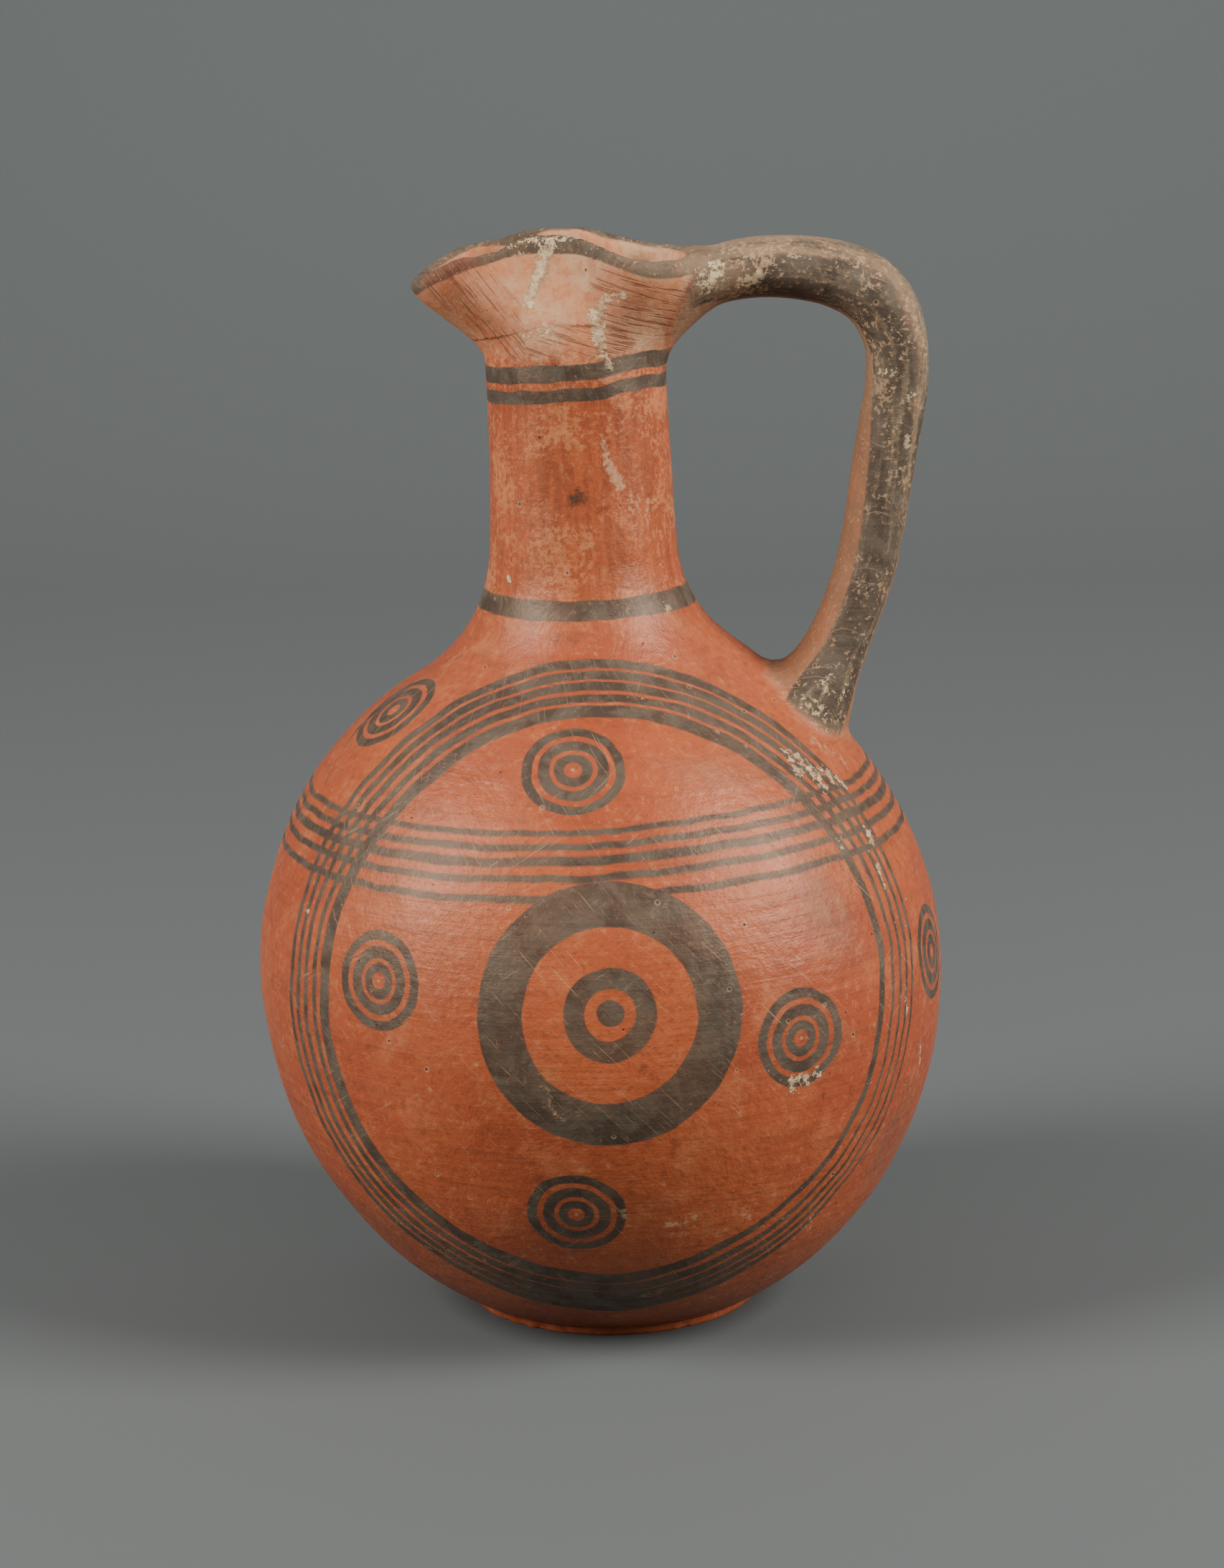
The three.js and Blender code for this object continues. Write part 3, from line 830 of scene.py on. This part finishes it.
def upright_group():
    """The place in millimetres with the lean taken out, the bearing and the height."""
    nodes, _, out = new_group("upright_place", [], [
        ("Place", "place"), ("Bearing", "value"), ("Height", "value")])
    object_place = nodes.node("ShaderNodeTexCoord").outputs["Object"]
    x, y, z = nodes.split(nodes.vector("MULTIPLY", object_place, (1000.0, 1000.0, 1000.0)))
    x = nodes.scaled(z, LEAN, x)
    nodes.put(out["Place"], nodes.combine(x, y, z))
    bearing = nodes.math("ARCTAN2", x, nodes.product(y, -1.0))
    nodes.put(out["Bearing"], nodes.math("DEGREES", bearing))
    nodes.put(out["Height"], z)


def band_paint(nodes, value, low, high, soft=0.22):
    """1 where the value lies between low and high, with soft edges."""
    inner = nodes.step(nodes.minus(value, low), -soft, soft)
    return nodes.product(inner, nodes.step(nodes.minus(value, high), soft, -soft))


def circles_group():
    """Everything drawn with compasses. Wander moves the brush's edges in and out a little."""
    nodes, entry, out = new_group("compass_circles", [
        ("Place", "place"), ("Wander", "value")], [("Paint", "value"), ("Prick", "value")])
    wander = entry["Wander"]
    # small circles
    off = nodes.node("ShaderNodeAttribute", attribute_name="small_circle").outputs["Vector"]
    first_thick, other_half, apart = nodes.attribute("thickness")
    gap = nodes.vector("LENGTH", off)
    prick = nodes.step(gap, 0.5, 0.25)
    gap = nodes.plus(gap, wander)
    paint = nodes.most(band_paint(nodes, gap, 1.75, 3.85, 0.17),
                       band_paint(nodes, gap, 4.8, 7.25, 0.17),
                       band_paint(nodes, gap, 8.5, 10.6, 0.17))
    close = nodes.math("LESS_THAN", apart, 11.8)
    paint = nodes.product(paint, close)
    nodes.put(out["Prick"], nodes.product(prick, close))
    # bull's-eye
    x, y, z = nodes.split(entry["Place"])
    turned = nodes.product(nodes.math("SIGN", y), -1.0)
    flat = nodes.combine(nodes.product(x, turned), nodes.product(y, turned), z)
    gap = nodes.plus(nodes.vector("DISTANCE", flat, tuple(FRONT_PRICK)), wander)
    first_edge, width, drift = nodes.attribute("big_circles")
    near = nodes.scaled(drift, -0.5, gap)
    wide = nodes.minus(gap, drift)
    paint = nodes.most(paint, nodes.step(gap, 3.1, 2.7), band_paint(nodes, near, 5.05, 9.55),
                       band_paint(nodes, wide, 17.8, 27.55))
    # five lines
    along = nodes.math("DIVIDE", nodes.minus(gap, first_edge), width)
    paint = nodes.most(paint, band_paint(nodes, along, 0.0, first_thick, 0.26))
    for middle in (5.4, 8.65, 11.55, 14.5):
        off = nodes.absolute(nodes.minus(along, middle))
        paint = nodes.most(paint, nodes.step(nodes.minus(off, other_half), 0.26, -0.26))
    nodes.put(out["Paint"], paint)


# Heights of the painted lines around the belly and of the neck bands, and their half widths
BELLY_LINES = [(121.1, 0.6), (118.5, 0.68), (115.8, 0.9), (112.6, 0.72), (108.8, 0.75)]
NECK_BANDS = [(160.9, 2.1), (207.0, 1.45), (211.8, 1.85)]


def lines_group():
    """The lines painted on the turning wheel: around the belly and around the neck."""
    nodes, entry, out = new_group("wheel_lines", [("Height", "value")], [("Paint", "value")])
    line_rise, band_rise, _ = nodes.attribute("rise")
    low = nodes.minus(entry["Height"], line_rise)
    paint = 0.0
    for middle, half in BELLY_LINES:
        off = nodes.absolute(nodes.minus(low, middle))
        paint = nodes.most(paint, nodes.step(off, half + 0.3, half - 0.3))
    for middle, half in NECK_BANDS:
        lift = 1.0 if middle > neck_top - 10 else 0.12
        level = nodes.scaled(band_rise, -lift, entry["Height"])
        off = nodes.absolute(nodes.minus(level, middle))
        paint = nodes.most(paint, nodes.step(off, half + 0.22, half - 0.22))
    nodes.put(out["Paint"], paint)


# Stripe on each side of the strap, by share of its length: its inner and outer edges, as shares
# of the strap's thickness from the face towards the neck (0) to the outer face (1)
STRIPE_INNER = [(0.0, 0.3), (0.09, 0.24), (0.16, 0.08), (0.3, 0.05), (0.42, 0.06), (0.5, 0.12),
                (0.6, 0.22), (0.75, 0.27), (0.86, 0.25), (0.93, 0.2), (1.0, 0.34)]
STRIPE_OUTER = [(0.0, 0.88), (0.2, 0.97), (0.3, 1.04), (0.5, 1.04), (0.62, 0.99), (0.75, 0.97),
                (0.9, 0.96), (1.0, 0.92)]


def edges_group():
    """The painted lip and the painted sides of the handle."""
    nodes, entry, out = new_group("painted_edges", [("Wobble", "value")], [("Paint", "value")])
    over_rim, side, _ = nodes.attribute("lip")
    below = nodes.scaled(entry["Wobble"], 1.3, over_rim)
    lip = nodes.product(nodes.step(below, -3.9, -3.4), nodes.step(side, -4.1, -3.4))
    run, out_share, on_strap = nodes.attribute("strap")
    level = nodes.scaled(out_share, 0.5, 0.5)
    level = nodes.scaled(entry["Wobble"], 0.05, level)
    inner = nodes.minus(level, nodes.curve(run, STRIPE_INNER))
    outer = nodes.minus(nodes.curve(run, STRIPE_OUTER), level)
    stripe = nodes.product(nodes.step(inner, -0.012, 0.02), nodes.step(outer, -0.012, 0.02),
                           nodes.step(run, 0.075, 0.115), nodes.step(run, 0.985, 0.955),
                           nodes.step(on_strap, 0.1, 0.5))
    nodes.put(out["Paint"], nodes.most(lip, stripe))


def brushed_curve_group():
    """The loose brush line that runs from the neck's foot down around the left shoulder."""
    nodes, entry, out = new_group("loose_brush_line", [("Place", "place")], [("Paint", "value")])
    line = [(-27.7, -13.1, 150.2), (-35.3, -7.9, 145.8), (-50.6, -10.4, 133.0),
            (-57.2, -20.0, 122.8)]
    parts = []
    for (start, end), half in zip(zip(line, line[1:]), (1.0, 0.85, 0.5)):
        way = [b - a for a, b in zip(start, end)]
        length = math.sqrt(sum(a * a for a in way))
        off = nodes.vector("SUBTRACT", entry["Place"], start)
        along = nodes.vector("DOT_PRODUCT", off, [a / length for a in way])
        along = nodes.math("MINIMUM", nodes.math("MAXIMUM", along, 0.0), length)
        foot = nodes.vector("SCALE", [a / length for a in way])
        nodes.put(foot.node.inputs["Scale"], along)
        gap = nodes.vector("LENGTH", nodes.vector("SUBTRACT", off, foot))
        parts.append(nodes.step(gap, half + 0.35, half - 0.2))
    nodes.put(out["Paint"], nodes.most(*parts))


def pits_group():
    """Small burst pits in the slip: dark in the middle, some with a pale broken edge."""
    nodes, entry, out = new_group("burst_pits", [("Place", "place"), ("Size", "value")],
                                  [("Pit", "value"), ("Edge", "value")])
    cells = nodes.node("ShaderNodeTexVoronoi")
    nodes.put(cells.inputs["Vector"], entry["Place"])
    nodes.put(cells.inputs["Scale"], nodes.math("DIVIDE", 1.0, entry["Size"]))
    gap = nodes.product(cells.outputs["Distance"], entry["Size"])
    pick, other, _ = nodes.split(cells.outputs["Color"])
    reach = nodes.scaled(other, 0.3, 0.2)
    chosen = nodes.step(pick, 0.28, 0.33)
    nodes.put(out["Pit"], nodes.product(nodes.step(gap, reach, nodes.product(reach, 0.4)), chosen))
    ring = nodes.product(nodes.step(gap, nodes.product(reach, 1.8), reach), chosen)
    nodes.put(out["Edge"], nodes.product(ring, nodes.step(other, 0.5, 0.8)))


def scratches_group():
    """Fine scratches in patches, level and slanting. Where gives the patches."""
    nodes, entry, out = new_group("fine_scratches", [
        ("Along", "value"), ("Height", "value"), ("Where", "value"), ("Slant", "value"),
        ("Spacing", "value"), ("Fill", "value")], [("Scratch", "value")])
    cosine, sine = nodes.math("COSINE", entry["Slant"]), nodes.math("SINE", entry["Slant"])
    long_way = nodes.plus(nodes.product(entry["Along"], cosine),
                          nodes.product(entry["Height"], sine))
    short_way = nodes.minus(nodes.product(entry["Height"], cosine),
                           nodes.product(entry["Along"], sine))
    line = nodes.noise(nodes.combine(nodes.product(long_way, 0.1),
                                     nodes.math("DIVIDE", short_way, entry["Spacing"]),
                                     entry["Slant"]), 1.0, 2.0, 0.5, 0.3)
    line = nodes.plus(line, entry["Fill"])
    nodes.put(out["Scratch"], nodes.product(nodes.step(line, 0.64, 0.73), entry["Where"]))


ORANGE_SLIP = (0.345, 0.080, 0.029)
RED_SLIP = (0.28, 0.057, 0.023)
DEEP_SLIP = (0.118, 0.034, 0.018)
YELLOW_SLIP = (0.45, 0.165, 0.068)
PINK_CLAY = (0.48, 0.218, 0.105)
BEIGE_CLAY = (0.45, 0.290, 0.165)
STRAP_CLAY = (0.145, 0.072, 0.037)
WORN_STRAP_CLAY = (0.200, 0.148, 0.092)
GREY_PAINT = (0.074, 0.064, 0.048)
DARK_PAINT = (0.037, 0.032, 0.025)
THIN_PAINT = (0.105, 0.060, 0.037)
LIME = (0.56, 0.43, 0.26)
LIME_GREY = (0.33, 0.24, 0.145)
SOOT = (0.035, 0.025, 0.019)


def clay_looks():
    material = bpy.data.materials.new("slipped_clay_looks")
    material.use_nodes = True
    nodes = Nodes(material.node_tree)
    surface = material.node_tree.nodes["Principled BSDF"]

    upright = use_group(nodes, "upright_place")
    place, bearing, height = upright["Place"], upright["Bearing"], upright["Height"]
    _, _, outside = nodes.attribute("lip")
    run, out_share, on_strap = nodes.attribute("strap")
    deposit_depth, scuff_depth, stain_depth = nodes.attribute("marks")
    _, _, rubbed_depth = nodes.attribute("rise")
    fold, wiped, smoke_and_shade = nodes.attribute("fold")

    cloud = nodes.noise(place, 0.02, 3.0, 0.6, 0.4)
    blotch = nodes.noise(place, 0.09, 4.0, 0.62, 0.5)
    grain = nodes.noise(place, 0.5, 4.0, 0.7)
    flake = nodes.noise(place, 0.9, 4.0, 0.68, 0.12)
    along = nodes.product(bearing, 1.25)
    level_streak = nodes.noise(nodes.combine(nodes.product(along, 0.03),
                                             nodes.product(height, 0.45), 3.0),
                               1.0, 4.0, 0.6, 0.2)
    upright_streak = nodes.noise(nodes.combine(nodes.product(along, 0.16),
                                               nodes.product(height, 0.05), 8.0),
                                 1.0, 4.0, 0.7, 0.6)

    # paint: the brush's edges wander a little
    wander = nodes.scaled(nodes.noise(place, 0.12, 2.0, 0.5), 1.3, -0.65)
    circles = use_group(nodes, "compass_circles", Place=place, Wander=wander)
    lines = use_group(nodes, "wheel_lines", Height=nodes.plus(height, wander))
    brush_line = use_group(nodes, "loose_brush_line", Place=place)
    on_vessel = nodes.product(
        nodes.most(circles["Paint"], lines["Paint"], brush_line["Paint"]),
        nodes.less(on_strap), outside)
    edges = use_group(nodes, "painted_edges", Wobble=nodes.minus(blotch, 0.5))
    paint = nodes.most(on_vessel, edges["Paint"])

    # worn and rubbed places
    fleck = nodes.scaled(flake, 2.0, -1.0)
    clustered = nodes.plus(nodes.scaled(blotch, 0.7, -0.35), flake)
    high = nodes.step(height, 222.0, 230.0)
    easily_worn = nodes.product(high, 0.05)
    worn = nodes.step(nodes.plus(easily_worn, flake), 0.65, 0.70)
    ragged = nodes.plus(nodes.scaled(blotch, 1.8, -0.9), nodes.product(fleck, 0.4))
    rubbed = nodes.step(nodes.plus(rubbed_depth, ragged), 0.3, 0.8)
    rub_paint = nodes.scaled(on_strap, 0.2, 0.15)
    paint = nodes.product(paint, nodes.less(nodes.product(worn, 0.65)),
                          nodes.less(nodes.product(rubbed, rub_paint)))

    # slip: cloudy, with painted shade making it darker towards the foot, streaked upright on the
    # neck
    slip = nodes.blend(nodes.step(cloud, 0.36, 0.62), RED_SLIP, ORANGE_SLIP)
    neck_part = nodes.product(nodes.step(height, 150.0, 166.0), nodes.less(on_strap))
    neck_tone = nodes.blend(nodes.step(upright_streak, 0.38, 0.62), DEEP_SLIP, ORANGE_SLIP)
    slip = nodes.blend(nodes.product(neck_part, 0.42), slip, neck_tone)
    slip = nodes.blend(nodes.product(nodes.step(clustered, 0.52, 0.6), neck_part, 0.7), slip,
                       YELLOW_SLIP)
    slip = nodes.blend(nodes.product(nodes.step(blotch, 0.52, 0.72), 0.35), slip, YELLOW_SLIP)
    slip = nodes.blend(nodes.product(nodes.step(level_streak, 0.5, 0.72), 0.32), slip, DEEP_SLIP)
    # painted shade: the slip is laid darker towards the foot, standing in for the dimmer light low
    # on the belly
    foot_shade_height = nodes.scaled(cloud, 40.0, height)
    slip = nodes.blend(nodes.product(nodes.step(foot_shade_height, 72.0, 14.0), 0.15), slip, DEEP_SLIP)
    slip = nodes.blend(nodes.product(nodes.step(grain, 0.53, 0.68), 0.42), slip, DEEP_SLIP)
    slip = nodes.blend(nodes.product(nodes.step(grain, 0.46, 0.32), 0.26), slip, PINK_CLAY)
    slip = nodes.blend(nodes.product(nodes.step(flake, 0.59, 0.67), nodes.step(cloud, 0.42, 0.58),
                                     0.5), slip, DEEP_SLIP)

    # bare clay at the mouth and in the rubbed places
    bare = nodes.blend(nodes.step(blotch, 0.4, 0.6), BEIGE_CLAY, PINK_CLAY)
    tone = nodes.noise(place, 0.13, 4.0, 0.6, 0.6)
    bare = nodes.blend(nodes.product(nodes.step(tone, 0.46, 0.6), 0.22), bare, ORANGE_SLIP)
    bare = nodes.blend(nodes.product(nodes.step(grain, 0.46, 0.62), 0.3), bare, RED_SLIP)
    x = nodes.split(place)[0]
    bare = nodes.blend(nodes.product(nodes.step(x, -4.0, -22.0), 0.4), bare, ORANGE_SLIP)
    strap_clay = nodes.blend(nodes.step(height, 190.0, 226.0), STRAP_CLAY, WORN_STRAP_CLAY)
    bare = nodes.blend(nodes.product(on_strap, 0.8), bare, strap_clay)
    bare = nodes.blend(nodes.product(nodes.step(flake, 0.56, 0.66), 0.5), bare, BEIGE_CLAY)
    flare = nodes.product(nodes.step(nodes.scaled(fleck, 5.0, height), 212.0, 218.0),
                          nodes.less(on_strap))
    faces = nodes.product(on_strap, nodes.span(blotch, 0.36, 0.6, 0.72, 1.0))
    showing = nodes.most(rubbed, nodes.product(nodes.less(outside), 0.8), flare, faces)
    colour = nodes.blend(nodes.product(showing, 0.92), slip, bare)

    # paint on top, uneven in strength
    paint_colour = nodes.blend(nodes.step(tone, 0.38, 0.62), DARK_PAINT, GREY_PAINT)
    paint_colour = nodes.blend(nodes.product(nodes.step(cloud, 0.45, 0.7), 0.45,
                                             nodes.less(on_strap)), paint_colour, THIN_PAINT)
    brushed = nodes.noise(nodes.combine(nodes.product(run, 7.0),
                                        nodes.product(out_share, 3.2),
                                        nodes.product(nodes.split(place)[1], 0.3)),
                          1.0, 4.0, 0.62, 0.3)
    patchy = nodes.scaled(flake, 0.35, nodes.product(brushed, 0.65))
    upper_face = nodes.product(nodes.step(out_share, 0.35, 0.85), nodes.step(run, 0.62, 0.4), 0.1)
    thin_places = nodes.scaled(rubbed, 0.05, nodes.plus(patchy, upper_face))
    film = nodes.product(nodes.step(thin_places, 0.49, 0.62), 0.62,
                         nodes.most(on_strap, nodes.product(high, 0.6)))
    paint_colour = nodes.blend(film, paint_colour, WORN_STRAP_CLAY)
    paint_colour = nodes.blend(nodes.product(nodes.step(clustered, 0.59, 0.65), on_strap, 0.55),
                               paint_colour, BEIGE_CLAY)
    paint_colour = nodes.blend(nodes.product(nodes.step(grain, 0.56, 0.74), 0.22),
                               paint_colour, LIME_GREY)
    cover = nodes.span(grain, 0.3, 0.7, 1.0, 0.92)
    colour = nodes.blend(nodes.product(paint, cover), colour, paint_colour)

    # painted shade in the fold under the lip, wiping marks, smoke grey and painted shade, stains,
    # scuffs, scratches, pits and lime
    upper = nodes.step(height, 212.0, 215.0)
    # painted shade: a dark line along the crease of the fold under the lip, which is also a
    # shallow groove in the relief
    fold_gap = nodes.absolute(nodes.scaled(fleck, 0.9, fold))
    fold_groove_and_shade = nodes.product(nodes.step(fold_gap, 0.5, 0.1), upper, nodes.less(on_strap),
                              outside, nodes.step(blotch, 0.4, 0.55))
    wiped = nodes.product(nodes.step(wiped, 0.2, 0.6), nodes.less(on_strap))
    left = nodes.math("LESS_THAN", x, -10.0)
    slant = nodes.scaled(left, -0.6, -0.3)
    wipes = use_group(nodes, "fine_scratches", Along=x, Height=height, Where=wiped,
                      Slant=slant, Spacing=0.6, Fill=0.1)["Scratch"]
    colour = nodes.blend(nodes.product(wiped, 0.25), colour, RED_SLIP)
    # the painted shade in the fold and the real wiping scratches, both laid in deep slip
    colour = nodes.blend(nodes.product(nodes.most(fold_groove_and_shade, wipes), 0.6), colour, DEEP_SLIP)
    # smoke grey clouds, with painted shade under the lip and on the handle's inner face
    colour = nodes.blend(nodes.product(smoke_and_shade, nodes.step(blotch, 0.3, 0.7), 0.6), colour,
                         GREY_PAINT)
    stain = nodes.step(nodes.plus(nodes.product(fleck, 0.7), stain_depth), 0.25, 0.95)
    colour = nodes.blend(nodes.product(stain, 0.85), colour, SOOT)
    scuff = nodes.step(nodes.scaled(fleck, 1.2, scuff_depth), 0.35, 0.95)
    colour = nodes.blend(nodes.product(scuff, 0.65), colour, BEIGE_CLAY)
    patches = nodes.step(tone, 0.46, 0.64)
    scratch = nodes.most(
        use_group(nodes, "fine_scratches", Along=along, Height=height, Where=patches,
                  Slant=0.55, Spacing=0.32, Fill=0.0)["Scratch"],
        use_group(nodes, "fine_scratches", Along=along, Height=height,
                  Where=nodes.less(patches), Slant=2.3, Spacing=0.32, Fill=0.0)["Scratch"])
    colour = nodes.blend(nodes.product(scratch, nodes.span(paint, 0.0, 1.0, 0.3, 0.36)), colour,
                         BEIGE_CLAY)
    pits = use_group(nodes, "burst_pits", Place=place, Size=5.2)
    colour = nodes.blend(nodes.product(pits["Edge"], 0.32), colour, BEIGE_CLAY)
    colour = nodes.blend(nodes.product(pits["Pit"], 0.85), colour, SOOT)
    colour = nodes.blend(nodes.product(circles["Prick"], 0.7), colour, LIME_GREY)
    lime = nodes.step(nodes.scaled(fleck, 1.35, deposit_depth), 0.48, 0.74)
    lime_colour = nodes.blend(nodes.step(grain, 0.4, 0.62), LIME, LIME_GREY)
    colour = nodes.blend(nodes.product(lime, 0.85), colour, lime_colour)
    nodes.put(surface.inputs["Base Color"], colour)

    # sheen: burnished slip shines, paint less, lime and bare clay hardly
    rough = nodes.span(blotch, 0.3, 0.7, 0.31, 0.44)
    rough = nodes.scaled(paint, 0.05, rough)
    dull = nodes.most(lime, showing, nodes.product(scuff, 0.5))
    rough = nodes.scaled(dull, 0.32, rough)
    rough = nodes.scaled(grain, 0.1, rough)
    nodes.put(surface.inputs["Roughness"], rough)
    surface.inputs["Specular IOR Level"].default_value = 0.44
    surface.inputs["Specular Tint"].default_value = (1.0, 0.70, 0.53, 1)

    # fine relief
    relief = nodes.product(grain, 0.26)
    relief = nodes.scaled(blotch, 0.5, relief)
    relief = nodes.scaled(nodes.product(level_streak, nodes.less(neck_part)), 0.24, relief)
    relief = nodes.scaled(flake, 0.06, relief)
    relief = nodes.scaled(pits["Pit"], -0.3, relief)
    relief = nodes.scaled(wipes, -0.15, relief)
    relief = nodes.scaled(fold_groove_and_shade, -0.25, relief)
    relief = nodes.scaled(lime, 0.18, relief)
    bump = nodes.node("ShaderNodeBump")
    bump.inputs["Distance"].default_value = MM
    bump.inputs["Strength"].default_value = 0.8
    nodes.put(bump.inputs["Height"], relief)
    nodes.put(surface.inputs["Normal"], bump.outputs["Normal"])
    return material


upright_group()
circles_group()
lines_group()
edges_group()
brushed_curve_group()
pits_group()
scratches_group()


def pitcher_mesh():
    points, faces = ring_net()
    place = settle(points)
    points = place.copy()
    points[:, 0] -= points[:, 2] * LEAN
    mesh = bpy.data.meshes.new("pitcher_clay")
    mesh.from_pydata((points * MM).tolist(), [], faces)
    mesh.shade_smooth()
    describe_places(mesh, place)
    return mesh


pitcher = bpy.data.objects.new("pitcher_fired_clay", pitcher_mesh())
bpy.context.scene.collection.objects.link(pitcher)
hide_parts("pitcher")
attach(pitcher, "root")

pitcher.data.materials.append(clay_looks())

# Floor, light and camera
STAGE_WIDTH = 2.6
STAGE_FRONT = -1.1
STAGE_BACK = 1.5
STAGE_TOP = 2.2
STAGE_BEND = 0.6
BEND_STEPS = 16
STAGE_GREY = (0.076, 0.086, 0.088, 1)
ROOM_LIGHT = 0.14


def stage_mesh():
    line = [(STAGE_FRONT, 0.0), (STAGE_BACK - STAGE_BEND, 0.0)]
    for i in range(1, BEND_STEPS + 1):
        angle = math.pi / 2 * i / BEND_STEPS
        line.append((STAGE_BACK - STAGE_BEND + math.sin(angle) * STAGE_BEND,
                     STAGE_BEND - math.cos(angle) * STAGE_BEND))
    line.append((STAGE_BACK, STAGE_TOP))
    corners = [(x, y, z) for y, z in line for x in (-STAGE_WIDTH, STAGE_WIDTH)]
    faces = [(2 * i, 2 * i + 1, 2 * i + 3, 2 * i + 2) for i in range(len(line) - 1)]
    mesh = bpy.data.meshes.new("stage_sheet")
    mesh.from_pydata(corners, [], faces)
    mesh.shade_smooth()
    return mesh


stage = bpy.data.objects.new("stage_sheet", stage_mesh())
bpy.context.scene.collection.objects.link(stage)
stage_material = bpy.data.materials.new("stage_card")
stage_material.use_nodes = True
stage_surface = stage_material.node_tree.nodes["Principled BSDF"]
stage_surface.inputs["Base Color"].default_value = STAGE_GREY
stage_surface.inputs["Roughness"].default_value = 0.9
stage.data.materials.append(stage_material)


def soft_light(name, place, aim, size, power, colour):
    data = bpy.data.lights.new(name, "AREA")
    data.shape = "RECTANGLE"
    data.size, data.size_y = size
    data.energy = power
    data.color = colour
    light = bpy.data.objects.new(name, data)
    bpy.context.scene.collection.objects.link(light)
    light.location = place
    light.rotation_euler = (Vector(aim) - Vector(place)).to_track_quat("-Z", "Y").to_euler()


WARM = (1, 0.95, 0.9)
PLAIN = (1, 0.98, 0.96)
BODY_MIDDLE = (0, 0, 0.12)
soft_light("soft_left", (-1.06, -0.53, 0.84), BODY_MIDDLE, (0.55, 0.85), 34, WARM)
soft_light("soft_right", (1.13, -0.41, 0.86), BODY_MIDDLE, (0.55, 0.85), 40, WARM)
soft_light("soft_front", (-0.15, -1.2, 1.1), BODY_MIDDLE, (0.8, 0.5), 1.2, PLAIN)
soft_light("soft_back", (0, 0.9, 1.1), (0, 1.5, 0.3), (1.6, 0.3), 10, PLAIN)

world = bpy.data.worlds.new("room")
world.use_nodes = True
background = world.node_tree.nodes["Background"]
background.inputs["Color"].default_value = (1, 1, 1, 1)
background.inputs["Strength"].default_value = ROOM_LIGHT
bpy.context.scene.world = world

CAMERA_PLACE = (0.03507, -0.95576, 0.33336)
CAMERA_TURN_DEG = 2.0
CAMERA_DIP_DEG = 12.7165
CAMERA_ROLL_DEG = 1.103
CAMERA_LENS = 101.41

camera_data = bpy.data.cameras.new("camera")
camera_data.lens = CAMERA_LENS
camera_data.sensor_width = 36
camera_data.clip_start = 0.05
camera = bpy.data.objects.new("camera", camera_data)
bpy.context.scene.collection.objects.link(camera)
turn, dip = math.radians(CAMERA_TURN_DEG), math.radians(CAMERA_DIP_DEG)
forward = Vector((-math.cos(dip) * math.sin(turn), math.cos(dip) * math.cos(turn), -math.sin(dip)))
right = Vector((math.cos(turn), math.sin(turn), 0))
up = right.cross(forward)
roll = Matrix.Rotation(math.radians(-CAMERA_ROLL_DEG), 3, "Z")
axes = Matrix((right, up, -forward)).transposed() @ roll
camera.matrix_world = Matrix.Translation(CAMERA_PLACE) @ axes.to_4x4()
bpy.context.scene.camera = camera
